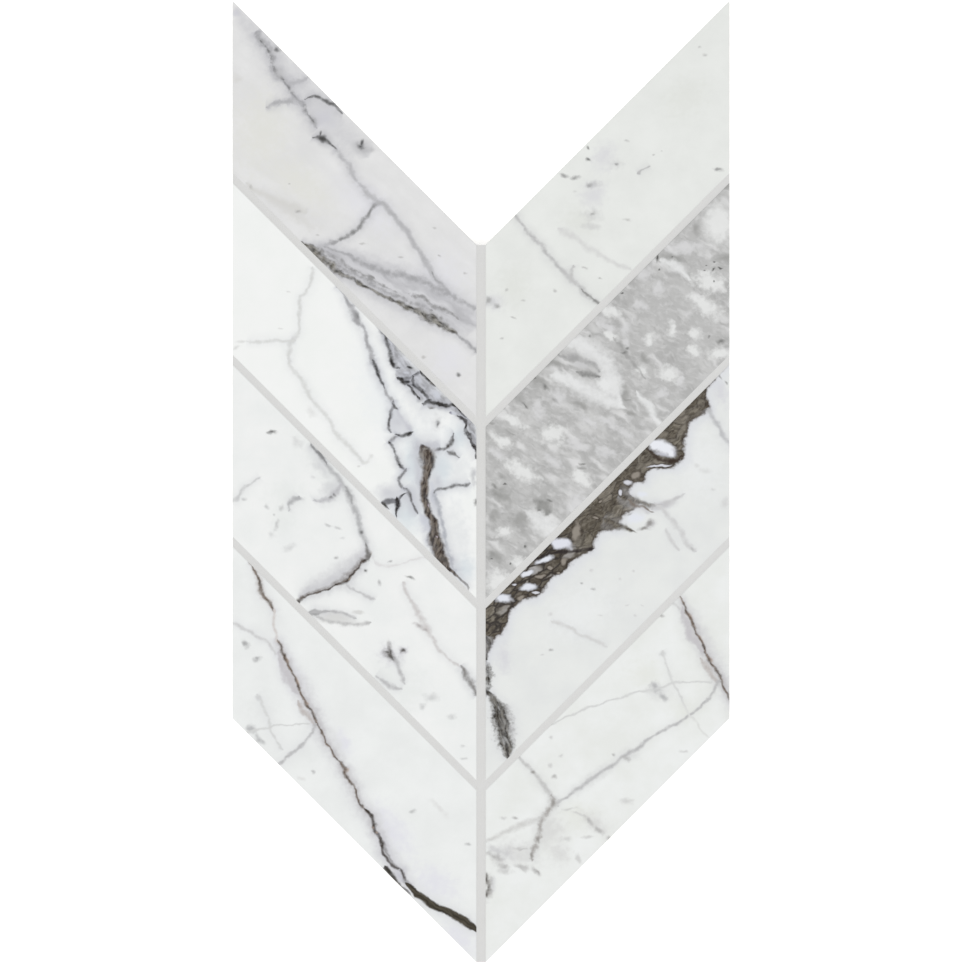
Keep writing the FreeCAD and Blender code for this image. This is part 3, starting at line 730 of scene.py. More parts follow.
for points in (
    [(112, 135.4, 1.6), (118, 132.6, 2.6), (124, 128.6, 2.2), (128, 124, 1)],
    [(50, 86, 3.4), (58, 84.6, 4.6), (66, 81, 5.2), (73.5, 75, 5.6), (79, 67, 5.4), (83, 57, 4),
     (86, 47, 1)],
    [(43.6, 64.6, 1.4), (49, 64, 3.2), (57, 60.6, 4.4), (65, 55.8, 4.8), (73, 52, 4.2), (80, 49, 3.2),
     (87, 45.6, 1)],
    [(96.4, 54.6, 0.8), (99.6, 50, 1.9), (104, 43.6, 2.1), (109.4, 36, 1.4)],
    [(28.6, -18, 1), (33, -22, 3.6), (38, -26, 5.6), (46, -31, 6)],
):
    tile.vein((232, 233, 233), points, hardness=0.1, ragged=0.4, broken=0.2, halo=0.0, opacity=0.88)
tile.spots((232, 233, 233), [(76.6, 59, 8, 6, -40)], 0.95, 0.3, 0.4)
tile.spots((206, 206, 207), [(61, 72, 8, 2.6, -12)], 0.9, 0.3, 0.2)
tile.vein((158, 158, 158), [
    (47, 78, 0.8), (54, 76.6, 1.6), (62, 75.2, 1.6), (68, 72.6, 1.3), (72, 69, 1),
], halo=0.3, broken=0.5, opacity=0.8)
tile.vein((128, 128, 127), [(59, 67.6, 0.6), (64, 66, 1.4), (69, 65.2, 1.6), (73, 65, 0.8)], halo=0.4)
tile.vein((150, 150, 149), [
    (82, 88, 0.8), (88, 80, 1.2), (94, 72, 1), (99, 64, 0.6),
], halo=0.2, opacity=0.6)
tile.spots((150, 150, 148), [
    (38, -16, 7, 4, -30), (10, -7, 5, 2, -25), (13, 3, 4, 1.2, -40), (45, 50, 4, 1.4, -30),
    (61, 9, 4, 1.2, -10), (18, 30, 4, 1.2, -30), (90, 50, 4, 1.2, -20), (7, 36, 3, 1.4, 0),
    (6, -46, 3, 4, 0),
], 0.75)
tile.spots((138, 138, 136), [(36, -13, 4, 2.6, -30), (42, -19, 3, 2, -30), (9, -3, 4, 1.4, -30)], 0.8)
tile.spots((112, 112, 110), [
    (38.6, 57.6, 3, 2, -10), (34, 63.4, 1.6, 1, -30), (26, 47.3, 3.6, 1.2, -50), (88.9, 82, 1.6, 1, 0),
    (66.6, 88.7, 1.3, 1.5, 0), (87.4, 79.7, 2.4, 1.1, -5), (146.7, 86.1, 3, 1.8, 0),
    (61.7, 11.6, 2.4, 0.8, 0), (139.6, 90, 1.4, 1, 0), (35.3, -17.7, 2, 1.4, 0), (42.4, -13, 1.8, 1.2, 0),
], 0.8)
tile.spots((70, 70, 68), [
    (108.6, 137, 1.1, 3.4, -20), (110, 130.2, 1.1, 0.9, 0), (117.6, 137.4, 1.1, 0.8, 0),
    (142.8, 134.7, 1.2, 0.9, 0), (137.2, 129.7, 0.9, 0.8, 0), (143.4, 130.2, 1.4, 0.9, 0),
    (147, 130.6, 2, 0.7, 0), (142.4, 122.6, 1, 0.8, 0), (138, 133.4, 0.9, 0.7, 0),
    (15.4, -2, 1.2, 0.8, 0), (85.4, 115.6, 1, 0.8, 0), (6.7, -48.4, 1.2, 0.9, 0),
    (26.7, -39.8, 1.1, 0.9, 0), (18, -50, 1, 0.8, 0),
], 0.9)
finish_tile(tile, "tile_right_2")


# Third left tile
# White, with a soft grey vein down from its upper edge that turns brown as it swings back to the joint
# below. Beside that joint are a leaf-shaped loop, a star-shaped stain and faint broken lines.
tile = Print("third left marble", (241, 242, 241), (236, 238, 237), (202, 203, 207))
tile.spots((229, 232, 230), [
    (-95, 10, 30, 14, -45), (-120, -8, 16, 12, 0), (-45, -130, 14, 22, -30), (-122, -24, 12, 12, 0),
    (-60, -118, 16, 14, -30), (-95, -100, 12, 8, -45),
], 0.6)
tile.spots((209, 210, 212), [
    (-91.8, -3.4, 8, 6, 20), (-98, 8, 10, 4, -50), (-73.4, -30.2, 3.6, 3.4, 0),
], 0.7)
tile.vein((182, 183, 184), [
    (-103.6, 23, 1), (-97.3, 14.4, 1.3), (-91.8, 7.7, 1.3), (-87.6, 1.4, 1.2), (-84.6, -3, 1.5),
    (-80.6, -8.4, 1.9), (-77.8, -14.6, 1.4), (-75.6, -21.3, 1.1), (-73.6, -30, 1.4), (-70.8, -37, 1.3),
    (-69.4, -43, 1.3),
], hardness=0.0, halo=0.5, broken=0.3, ragged=0.15)
tile.vein((138, 138, 139), [(-103.5, 22.4, 0.6), (-99.5, 17.6, 0.8), (-95, 12, 0.5)], halo=0.3)
tile.vein((158, 158, 159), [(-83.6, -4, 0.5), (-80.8, -8, 1), (-78.6, -12.6, 0.5)], halo=0.0)
tile.spots((100, 100, 100), [(-73.3, -30.4, 2, 1.5, 0), (-128.6, 29.6, 4.4, 1.6, 0)], 0.9)
tile.vein((203, 203, 206), [
    (-70, -44, 2.4), (-74, -47.6, 4.4), (-79, -53, 5.6), (-86, -58, 5.6), (-94, -62, 5), (-103, -66, 4),
    (-110, -70, 2.6),
], hardness=0.0, broken=0.2, halo=0.5, opacity=0.85)
tile.vein((150, 146, 145), [
    (-70, -46, 0.8), (-75, -51.4, 1.6), (-80, -56.4, 1.5), (-87, -61, 1.2), (-94, -65, 1),
    (-102, -67.6, 0.9), (-110.6, -71, 0.8),
], hardness=0.0, broken=0.6)
tile.vein(tile.mottle((56, 50, 45), (104, 94, 86), 20, (3, 1)), [
    (-68.4, -44.6, 0.6), (-69, -47.6, 1), (-72.8, -50, 0.6), (-75.4, -53.4, 0.6), (-79.5, -57.4, 0.7),
    (-82.2, -60.6, 1.1), (-89, -63.8, 0.6), (-93.4, -66, 0.6), (-100.7, -68.3, 0.5), (-107.4, -70.6, 0.6),
    (-112.6, -73.6, 1.2),
], hardness=0.2, broken=0.3, halo=0.0)
tile.spots((82, 74, 68), [(-69.2, -46, 1.5, 2, 20), (-82.4, -60.4, 1.6, 1.8, -40)], 0.9, 0.2, 0.6)
tile.spots((186, 168, 150), [(-80.6, -59.6, 1.6, 0.9, 40), (-67.4, -44, 1, 1.8, 0)], 0.6)
tile.vein((118, 116, 114), [(-70.2, -39.5, 0.5), (-69.4, -42.5, 1.1), (-68.6, -46, 1.2)], halo=0.3)
tile.vein((190, 190, 193), [
    (-102.6, -10.4, 0.8), (-98, -11.6, 1.2), (-93, -10, 1.8), (-89.4, -7.6, 2), (-86.6, -3, 1.2),
], hardness=0.0, halo=0.5)
tile.spots((128, 127, 128), [(-92.6, -9.8, 2, 1, 10), (-89.6, -8.2, 1.6, 1.3, 40)], 0.85)
tile.spots((168, 169, 170), [(-112, -9.8, 4.4, 2, 0)], 0.9)
tile.vein((178, 179, 180), [
    (-117.6, -16, 0.9), (-116, -12, 1.3), (-112.6, -9.6, 1.4),
], hardness=0.0, halo=0.4)
tile.spots((188, 189, 189), [
    (-131.4, -15.7, 2.2, 1.7, 0), (-122.4, -15.4, 2, 2.8, 0), (-125.2, -27.4, 1.6, 4.6, -15),
    (-126.6, -21, 1.6, 1.4, 0), (-88.4, -28.4, 3, 1.5, -20), (-94, -26.3, 2.8, 1.3, -20),
    (-145.3, -10.6, 2.2, 1.6, 0),
], 0.7)
tile.spots((208, 209, 209), [
    (-117.4, -40.3, 5, 2.6, 20), (-113, 24.6, 5, 3.4, -40), (-85, -35.1, 2, 1.4, 0), (-104, 2, 2, 1.4, 0),
    (-136, 2.4, 3, 1.4, 20), (-128, -33, 3, 2, 0),
], 0.7)
tile.vein((204, 205, 205), [
    (-136, 2, 0.6), (-140.6, -1), (-145.4, -4.6, 0.8), (-149, -9, 0.9), (-152.4, -11.4, 1),
], hardness=0.0, halo=0.3)
tile.spots((164, 164, 165), [
    (-88.9, -46.3, 2.4, 1.6, 0), (-70.6, -55.2, 2.2, 1.8, 0), (-62.5, -62, 1.8, 2.4, 0),
    (-56.4, -48.7, 1.8, 1.2, 0),
], 0.75)
tile.spots((96, 95, 94), [(-70.6, -55.2, 1.4, 1, 0), (-44, -58.9, 3.6, 1.2, -10)], 0.8)
tile.vein((196, 196, 197), [
    (-82, -63.6, 0.6), (-76.4, -66.6), (-71, -70, 0.9), (-66, -72.4, 0.7),
], hardness=0.0, halo=0.4)
tile.vein((222, 221, 221), [
    (-66, -47, 0.7), (-59.2, -51.6, 0.8), (-51, -51, 0.5), (-42, -48.6), (-34.5, -46.5, 0.6),
], hardness=0.0, broken=0.6, halo=0.2)
tile.spots((213, 213, 211), [(-89.5, -83.6, 15, 4.4, -6), (-75, -80, 5, 1.4, 0)], 0.85, 0.3, 0.2)
tile.vein((108, 108, 106), [
    (-106.4, -82, 0.7), (-104, -80.8, 1.7), (-101, -80, 1.5), (-97, -79.4, 0.8), (-93, -79.6, 0.5),
], hardness=0.2)
tile.vein((184, 184, 185), [
    (-104, -80.4, 1), (-98.5, -79.4), (-90.7, -79.8, 0.9), (-82.8, -81.4, 0.9), (-77.5, -83.6, 0.7),
], hardness=0.0, halo=0.3)
tile.vein((192, 192, 192), [
    (-99.6, -82.8, 0.7), (-89.5, -87, 1), (-79.5, -87.8, 1.3), (-69.5, -86.4, 1.2),
], hardness=0.0, halo=0.0)
tile.spots((208, 207, 214), [(-55.4, -106, 10, 8, -30), (-48, -103.6, 5, 4, 0)], 0.8)
tile.spots((160, 158, 158), [
    (-55.6, -106.4, 7.4, 4, -38), (-56.2, -101.6, 2.2, 5.6, 4), (-47.8, -103.6, 3.6, 2.6, -20),
], 0.85)
tile.spots((112, 110, 107), [(-56, -105.8, 3, 4.2, 10)], 0.7, 0.0, 0.3)
tile.spots((86, 84, 80), [
    (-54.6, -107.4, 4.6, 1.8, -42), (-57.6, -104.4, 2.2, 1.3, -20), (-55.6, -104.4, 1.1, 2.6, 10),
    (-48, -103.6, 2, 1.4, 0),
], 0.9)
tile.vein((190, 190, 191), [
    (-63.7, -118.4, 0.7), (-59.2, -122.9, 1.2), (-54.6, -126, 1.7), (-49.4, -126.8, 0.9),
], hardness=0.0, halo=0.4)
tile.vein((186, 186, 187), [
    (-52.8, -109, 1.3), (-50.4, -114.4, 1.2), (-48, -119.4, 1.1), (-46.4, -123, 0.8),
], hardness=0.0, halo=0.3)
tile.vein((206, 203, 202), [
    (-48, -62.4, 0.7), (-44.6, -70.1, 0.9), (-40.6, -77, 1.1), (-37.3, -83.6, 1.5), (-33.6, -90, 1.9),
    (-30, -97, 1), (-24.4, -103.8, 0.8), (-18.7, -109.4, 0.7), (-12, -114.4, 0.7),
], hardness=0.0, halo=0.3)
tile.spots((168, 162, 162), [(-38, -89, 4.6, 1.8, -30), (-34, -91.4, 2.6, 1.4, -40)], 0.8)
tile.vein((136, 134, 132), [
    (-11.8, -114, 0.9), (-8.8, -119.6, 1.4), (-5.8, -124.6, 1.3), (-2.4, -130, 1.1),
], hardness=0.0, halo=0.8)
tile.spots((198, 199, 199), [
    (-30.6, -132, 6.4, 3.6, 0), (-18, -143.4, 3.4, 2.2, 0), (-10.9, -162.7, 2.6, 1.6, 0),
    (-35.6, -138, 3, 2.4, 0), (-91.6, -103.4, 2.4, 1.6, 0), (-80, -120, 2, 1.3, 0),
    (-10, -170, 2.4, 1.3, 0),
], 0.7)
finish_tile(tile, "tile_left_3")


# Third right tile
# Snow white marble torn open along its upper edge: a dark olive brown breccia, pieced with white and
# lilac lumps, hugs the joint above down to the centre joint and breaks out again lower down beside it.
tile = Print("third right marble", (232, 234, 232), (227, 229, 228), (206, 207, 212))
tile.spots((235, 237, 237), [(135, 10, 20, 30, 0), (60, -80, 30, 20, 30)], 0.8)
tile.spots((214, 214, 219), [(147, 55, 6, 12, 20), (14, -108, 6, 12, 0)], 0.8)
DARK_RIM = 0.8
BRECCIA_EDGE = [
    (138.4, 57.4), (139.4, 49), (138.6, 43.6), (134, 39.8), (128.8, 36), (127.4, 31.4), (125.2, 27),
    (124.6, 19), (123.4, 13), (119.6, 9.8), (113.9, 8), (106.7, 7.5), (102.4, 5.3), (100.2, 1.2),
    (95.3, -1), (91, -4.8), (91.6, -8), (94.6, -16.4), (89.6, -19.7), (85.4, -22.8), (83.6, -28),
    (75.3, -30.4), (71.4, -33.2), (68.6, -38), (68.4, -41), (63.9, -43.8), (58, -47.4), (54.6, -51),
    (50.4, -55.4), (43, -59.8), (39.4, -65), (34.4, -69.6), (28.1, -72), (21.4, -75), (18, -79.8),
    (16, -85.6), (13.6, -91.2), (9.6, -95.6), (6.6, -100), (3.8, -107),
]
edge = tile.beside(BRECCIA_EDGE, 1.2)
tile.wash((216, 218, 225), ramp(tile.tree, edge, 0.0, 9.0, 1.0, 0.0, "SMOOTHSTEP"), 0.6)
tile.wash((196, 195, 198), ramp(tile.tree, edge, 0.0, 2.4, 1.0, 0.0, "SMOOTHSTEP"), 0.6)
rim, lump = tile.rubble(34, (9, 4.2))
base = tile.mottle((96, 90, 79), (134, 128, 117), 32, (6, 3))
base = mix_colour(tile.tree, tile.streaks(40, (2.4, 1.1), 0.46, 0.72), base, tile.ink((62, 56, 49)))
base = mix_colour(tile.tree, tile.streaks(25, (2.6, 1.2), 0.56, 0.76), base, tile.ink((152, 145, 136)))
base = mix_colour(tile.tree, ramp(tile.tree, lump, 0.52, 0.7, 0.0, 0.4), base, tile.ink((146, 140, 131)))
base = mix_colour(tile.tree, ramp(tile.tree, lump, 0.3, 0.48, 0.4, 0.0), base, tile.ink((78, 71, 63)))
lines = ramp(tile.tree, rim, 0.0, 0.16, 0.85, 0.0, "SMOOTHSTEP")
lower = ramp(tile.tree, tile.across_and_up["X"], 44.0, 66.0, 1.0, 0.0)
lines = maths(tile.tree, "MULTIPLY", lines, ramp(tile.tree, lower, 0.0, 1.0, 0.4, 1.0))
pieces = maths(tile.tree, "MULTIPLY", ramp(tile.tree, lump, 0.6, 0.66), ramp(tile.tree, rim, 0.08, 0.24))
pieces = maths(tile.tree, "MULTIPLY", pieces, lower)
deep = maths(tile.tree, "MULTIPLY", lower, ramp(tile.tree, tile.across_and_up["X"], 12.0, 30.0, 0.0, 0.36))
base = mix_colour(tile.tree, deep, base, tile.ink((64, 57, 51)))
base = mix_colour(tile.tree, pieces, base, tile.ink((172, 170, 169)))
breccia = mix_colour(tile.tree, lines, base, tile.ink((50, 44, 39)))
near = ramp(tile.tree, edge, -2.6, -0.2, 0.0, 0.65, "SMOOTHSTEP")
rimmed = mix_colour(tile.tree, near, breccia, tile.ink((66, 57, 50)))
tile.lay(ramp(tile.tree, edge, -0.9, 1.1, 1.0, 0.0, "SMOOTHSTEP"), rimmed)
tile.spots((198, 197, 200), [
    (112, -14.6, 9, 3, 10), (104.4, -26, 4.4, 3.4, 30), (100, -17.4, 5, 1.8, -20),
], 0.8)
tile.vein(breccia, [
    (87, -8.6, 2.4), (92.6, -11.6, 2.3), (98, -13.2, 1.7), (104, -14, 1.1), (109, -14, 0.5),
], hardness=0.2, broken=0.2, halo=0.5)
tile.vein((122, 112, 104), [
    (91, -12, 1.2), (96, -15.4, 0.9), (101, -16, 0.7), (105.4, -18, 0.4),
], halo=0.2)
tile.vein(breccia, [
    (78, -24.6, 2.8), (84, -27, 2.2), (88.4, -28.6, 1.4), (93.4, -30.6, 0.6),
], hardness=0.2, broken=0.2, halo=0.3)
tile.vein((192, 191, 192), [
    (106, -15, 1.4), (113, -13.6, 1.6), (119, -11, 1), (124, -7.4, 0.7),
], hardness=0.0, opacity=0.8, halo=0.3)
tile.spots((140, 137, 134), [
    (103.4, -25.4, 3, 4, -20), (99.6, -28.6, 4.6, 1.6, 15), (92, -20.4, 2.6, 1, 20),
], 0.85)
tile.spots((228, 231, 239), [(94.6, -22.6, 7, 3.6, 12), (99, -8, 4, 2, 0)], 0.9, 0.3, 0.2)
tile.vein((62, 52, 44), [
    (102, 20, 0.7), (108, 15.4, 1), (114, 12.6, 1), (120.6, 12.2, 1.1), (123, 16, 1),
], hardness=0.3, halo=0.0)
for tone, places in (
    ((234, 236, 242), [(112.4, 20.4, 9.4, 4.4, -25), (107, 22.6, 6, 3.6, -6), (116, 18, 5, 3, -50)]),
    ((224, 226, 235), [(50, -37.6, 7, 3.6, -20), (47, -38, 5, 3.4, -30)]),
    ((226, 229, 237), [(13.9, -71.8, 6.2, 3.2, 6), (28.8, -64.6, 5.8, 2.2, 4), (28.4, -56.4, 4.6, 1.9, 8),
                       (38.7, -48.3, 6.8, 2.2, 20)]),
    ((212, 213, 220), [(89.8, -0.5, 3.8, 1.8, -10), (110, 9.6, 8, 0.8, 4), (85.6, -6.6, 1.6, 2, 0),
                       (19.6, -62.4, 1.8, 0.8, 0), (34, -67.6, 2.4, 0.8, 0)]),
    ((148, 141, 132), [(95, 3.6, 3.4, 2.4, 10), (58.4, -31, 2.6, 6, -10), (51, -48.6, 2.6, 2.4, 20),
                       (36, -58.4, 3.4, 1.2, 15), (24.6, -70.8, 3, 1.8, 10), (47.4, -56, 1.4, 1, 0),
                       (42, -53, 2.2, 1, 30), (70, -23, 1.6, 0.8, 0), (74, -12, 1.4, 0.8, 30)]),
):
    rims = [(x, y, length + DARK_RIM, width + DARK_RIM, turn) for x, y, length, width, turn in places]
    tile.spots((62, 54, 47), rims, 0.7, 0.5, 0.2)
    tile.spots(tone, places, 1.0, 0.5, 0.2)
tile.spots((196, 197, 206), [
    (119, 17, 3, 1.6, -50), (110, 17, 7, 1.2, -24), (54, -40, 2.4, 1.4, -40),
], 0.8)
tile.vein((52, 44, 37), [
    (32, -48.4, 0.6), (38, -45.8, 0.8), (46, -43.6, 0.8), (56, -42.6, 0.9), (64, -41.4, 1.1),
    (68, -40.8, 1),
], hardness=0.4, halo=0.0)
ragged_grey = tile.mottle((58, 55, 50), (132, 129, 123), 104, (8, 1.5), 0.42, 0.68)
tile.vein(ragged_grey, [
    (3.4, -97, 1.6), (3.6, -104, 0.8), (3, -110, 1.2), (4.2, -115, 2.2), (4.8, -120, 2.4),
    (3.6, -125.4, 2), (2.6, -130.5, 1.6),
], hardness=0.5, broken=0.7, ragged=0.7)
tile.vein(ragged_grey, [
    (4, -129.6, 1.2), (8, -134.6, 3), (11.4, -141, 4.8), (13.2, -149, 5), (14.4, -157, 4.6),
    (16, -164, 3.6), (16.6, -170, 1.6),
], hardness=0.45, broken=0.2, ragged=0.6, halo=0.8)
tile.spots((168, 168, 168), [
    (15.4, -158.4, 2.6, 1.6, -60), (13.4, -160, 1, 2.4, 0), (11, -139, 0.8, 2.4, 30),
], 0.8)
tile.vein((196, 196, 197), [
    (15, -138, 0.8), (17.4, -143, 1.2), (19, -149, 1.4), (19.8, -155, 1.2), (20.4, -160, 0.8),
], hardness=0.0, opacity=0.7, broken=0.8, halo=0.0)
tile.vein((190, 191, 193), [
    (139.4, 44, 1.4), (140.6, 41.6, 1.2), (143.9, 37.5), (146.7, 31.8, 1.1), (150, 26.4, 1),
    (154, 20, 0.9),
], hardness=0.0, halo=0.4)
tile.spots((134, 134, 134), [(147.4, 64.6, 1, 2.4, 25), (150.4, 60.6, 1, 2, 25)], 0.8)
tile.spots((210, 210, 210), [
    (141.7, -4.7, 2.2, 1.2, 0), (149.6, -13, 3, 5, 0), (94.6, -82, 1.5, 1.2, 0), (67.4, -54.4, 2, 1.4, 0),
    (42.4, -80.6, 2.6, 1.8, 0), (85.3, -59.2, 1.8, 1.3, 0), (73.1, -81.6, 2.2, 1, 0),
    (93.1, -55.6, 1.4, 1, 0), (37.4, -105.6, 1.6, 0.9, 0), (89.6, -74.9, 2, 0.8, 0),
    (98.1, -76.3, 2, 0.8, -20),
], 0.8)
tile.spots((216, 217, 216), [(137.4, 6.8, 5, 2.4, 0), (132, 9, 3, 1.6, -30)], 0.8)
tile.spots((172, 172, 172), [
    (62.4, -62.7, 1.6, 1, -15), (68.9, -65.3, 1.8, 1.2, 0), (42.9, -103, 1.8, 1.3, 0),
], 0.85)
tile.vein((207, 207, 207), [
    (108, -14, 1), (114, -20, 1.2), (121, -28.2, 1.1), (125.3, -35.4), (128, -39, 1.3), (131, -42, 1.3),
], hardness=0.0, halo=0.2)
tile.spots((186, 186, 186), [(129.8, -41.4, 2.4, 1, -45)], 0.8)
tile.vein((208, 208, 208), [
    (113.9, -29.7, 0.9), (117.4, -36.8, 1.1), (121, -41.6, 0.8),
], hardness=0.0, halo=0.2)
tile.vein((212, 212, 211), [
    (43.9, -85.6, 0.9), (51, -87.7), (56, -90.6), (60, -93.4), (65.3, -95.6), (71, -98.4),
    (76.7, -101, 0.8),
], hardness=0.0, broken=0.5, halo=0.2)
finish_tile(tile, "tile_right_3")


# Lower tiles
# Both lowest tiles are cut from one print, a step apart, so the right one shows again the long crack of
# the left one and the fine lines that leave it. The crack is in the left tile's millimetres.
PRINT_STEP = (247.4, 26.4)


def lay_long_crack(marble, moved):
    marble.moved = Vector(moved)
    marble.vein((213, 213, 215), [
        (-124.6, -98, 2), (-119.2, -110.3, 4), (-111, -126.7, 4.6), (-101.3, -145, 4.4),
        (-95.7, -157.4, 4), (-87, -171.2, 3.8), (-80.9, -182.9, 4), (-73.2, -198.8, 4), (-66, -210, 4.4),
        (-58, -228, 4.4), (-48, -241, 4),
    ], hardness=0.0, opacity=0.9, broken=0.3, halo=0.5)
    marble.vein((188, 186, 188), [
        (-124.2, -99, 1), (-116.7, -115.4, 1.9), (-110.4, -130, 1.9), (-101.3, -145.1, 2.2),
        (-95.7, -157.4, 1.8), (-87, -171.2, 1.6), (-80.9, -182.9, 1.9), (-73.2, -198.8, 1.7),
        (-66, -210, 2.2), (-60, -225, 2.6),
    ], hardness=0.0, opacity=0.8, broken=0.4, halo=0.0)
    marble.vein((198, 196, 199), [
        (-123.6, -105, 1), (-121.3, -114.4, 2), (-118.7, -120.6, 2.3), (-115.1, -125.7, 1.9),
        (-112, -129.6, 0.8),
    ], hardness=0.3, broken=0.2, halo=0.2)
    marble.vein((190, 184, 181), [
        (-112.4, -134.4, 0.6), (-109.4, -139.6, 1.4), (-106, -144.4, 1.5), (-102.6, -149, 0.8),
    ], hardness=0.1, broken=0.4, halo=0.2)
    marble.spots((172, 150, 134), [
        (-119.4, -109.4, 5, 1.3, -66), (-112.6, -123, 4, 1.1, -66), (-106.6, -135.6, 3, 1.1, -58),
        (-82.8, -176.8, 2, 1.4, -70),
    ], 0.75)
    crack_tone = marble.mottle((78, 71, 64), (130, 116, 104), -62, (6, 1.2))
    marble.vein((196, 192, 190), [
        (-141.8, -50, 1), (-137.5, -58.1, 1.5), (-135.3, -65.9, 1.8), (-133, -70.4, 1.6),
        (-129.1, -76, 1.4), (-126.6, -79.4, 0.8),
    ], hardness=0.0, halo=0.4)
    marble.vein(crack_tone, [
        (-141.6, -50.4, 0.4), (-140, -53.6, 0.7), (-137.5, -58.1, 0.8), (-136, -63, 0.9),
        (-134.8, -66.6, 1.2), (-133, -70.4, 0.9), (-129.6, -75.4, 1), (-127, -79, 0.5),
    ], hardness=0.2, broken=0.3, halo=0.0)
    marble.vein((210, 205, 202), [
        (-126.6, -79, 0.7), (-126.6, -86, 0.9), (-126.2, -92), (-124.8, -98, 0.8),
    ], hardness=0.0, halo=0.2)
    marble.vein(crack_tone, [
        (-124.6, -97, 0.5), (-121.8, -104.7, 0.7), (-119.2, -110.3, 0.8), (-116.7, -115.4, 0.8),
        (-114.1, -121.1, 0.6), (-111, -126.7, 0.6), (-109.8, -131.3, 0.7), (-107.5, -135.9, 0.8),
        (-104.4, -140, 0.7), (-101.3, -145.1, 0.9), (-100.6, -148.2, 0.7), (-98.8, -152.3, 0.6),
        (-95.7, -157.4, 0.6), (-93.1, -163, 0.6), (-90.1, -167.6, 0.6), (-87, -171.2, 0.7),
        (-84, -175, 1), (-83.8, -178.4, 0.8), (-80.9, -182.9, 0.8), (-78.8, -187, 0.6),
        (-76.3, -193.2, 0.6), (-73.2, -198.8, 0.7), (-70, -203.6, 0.8),
    ], hardness=0.1, broken=0.35, halo=0.0)
    marble.vein((206, 206, 206), [
        (-153, -86.4, 0.9), (-144.4, -90.6), (-135.9, -94.9), (-130.1, -100), (-126, -105, 0.7),
    ], hardness=0.0, halo=0.3)
    marble.vein((186, 186, 187), [
        (-101.6, -149, 0.9), (-103.4, -151.6), (-106.4, -156.8), (-109.4, -161.2, 0.8), (-114, -165, 0.8),
        (-119, -169.2), (-126, -174.2), (-132.1, -177.6, 0.8), (-140.7, -182.4), (-152.1, -189.7, 0.9),
        (-160.7, -195.4), (-169.3, -201.6, 0.9), (-176.4, -206.4, 0.9), (-185, -213),
        (-193.5, -218.6, 0.7), (-200.4, -223.6, 0.7),
    ], hardness=0.0, broken=0.4, halo=0.25)
    marble.spots((196, 197, 198), [(-136.1, -132.7, 3, 2, 0), (-140.6, -151.4, 3.6, 3, 0)], 0.8)
    marble.vein((212, 213, 212), [
        (-136.4, -131, 0.7), (-133, -139.4), (-129.6, -149.7), (-126.4, -156.4), (-122.6, -163.8, 0.6),
    ], hardness=0.0, halo=0.2)
    marble.spots((180, 181, 182), [(-140.4, -152.6, 4, 2.8, -30), (-136, -158, 5.4, 2.4, -48)], 0.85)
    marble.vein((211, 212, 211), [
        (-208.2, -177.9, 0.5), (-195, -171), (-180, -165, 0.6), (-168, -161), (-156.6, -157.4),
        (-144, -154.4, 0.7), (-133.1, -151.2), (-120, -149.6, 0.5), (-106, -149.2, 0.5),
    ], hardness=0.0, broken=0.3, halo=0.0)
    marble.moved = Vector((0, 0))


tile = Print("lower left marble", (238, 240, 239), (233, 235, 234), (205, 205, 211))
tile.spots((226, 226, 233), [
    (-84, -160, 10, 6, -60), (-54, -214, 11, 26, 35), (-28, -246, 12, 20, 55), (-14, -280, 18, 9, -40),
    (-116, -118, 20, 7, -62),
], 0.85)
tile.spots((229, 231, 230), [(-132, -140, 14, 16, 0), (-108, -166, 12, 8, -45)], 0.7)
lay_long_crack(tile, (0, 0))
tile.vein((122, 120, 118), [
    (-63, -216, 0.5), (-60.6, -221, 0.9), (-57.6, -227, 0.9), (-53.6, -233.4, 0.8), (-50, -237.4, 1.2),
    (-47.4, -239.6, 0.8),
], hardness=0.0, halo=0.8)
tile.vein((66, 60, 54), [
    (-71, -202, 0.7), (-67.1, -206.9, 0.9), (-65.4, -210, 1.2), (-64.6, -213.4, 1.1),
    (-63.1, -217.5, 1.3), (-60.9, -223.7, 1.1), (-58.6, -229.3, 0.9), (-55.4, -233.4, 0.9),
    (-52.4, -236, 1), (-48.6, -238.4, 1),
], hardness=0.3, broken=0.3, halo=0.3)
tile.spots((168, 150, 138), [(-65.6, -211.4, 1, 1, 0), (-64, -214.6, 0.8, 0.9, 0)], 0.7)
tile.vein((74, 70, 66), [(-49, -238, 0.9), (-47.4, -242.4, 1.2), (-44.4, -247, 1.2)], halo=0.8)
tile.vein((62, 58, 54), [
    (-58.6, -236.8, 1.4), (-56, -240.4, 1.9), (-52.4, -244.6, 1.5), (-48, -249, 1), (-44.6, -252.6, 0.6),
], hardness=0.3, halo=0.4, broken=0.2)
tile.spots((60, 57, 52), [(-56.4, -238.8, 3.6, 1.7, -46)], 0.95, 0.4, 0.3)
tile.spots((196, 197, 206), [(-50, -242.4, 5.4, 1.6, -50)], 0.9, 0.0, 0.4)
tile.vein(tile.mottle((58, 54, 47), (86, 81, 71), -36, (9, 1.6)), [
    (-44.4, -247.6, 1.2), (-42.3, -249.6, 2.1), (-35.6, -255.4, 2.5), (-28.9, -259.9, 2.5),
    (-23.2, -263, 1.9), (-16.5, -265.8, 2.3), (-9.8, -269.8, 2.5), (-3, -274.8, 2),
], hardness=0.7, ragged=0.1, broken=0.0, halo=0.7)
tile.spots((152, 152, 153), [(-144.1, -99.4, 2.6, 3.4, 20), (-137, -108.8, 3, 2.4, 10)], 0.8)
tile.spots((180, 181, 181), [
    (-41.6, -201.9, 2.8, 1.6, 0), (-7.6, -222.4, 2.2, 1.6, 0), (-103.4, -178, 1.8, 1.3, 0),
], 0.8)
tile.spots((222, 222, 221), [(-26, -200.6, 9, 2.6, -48), (-110, -182, 3, 1.6, -30)], 0.8)
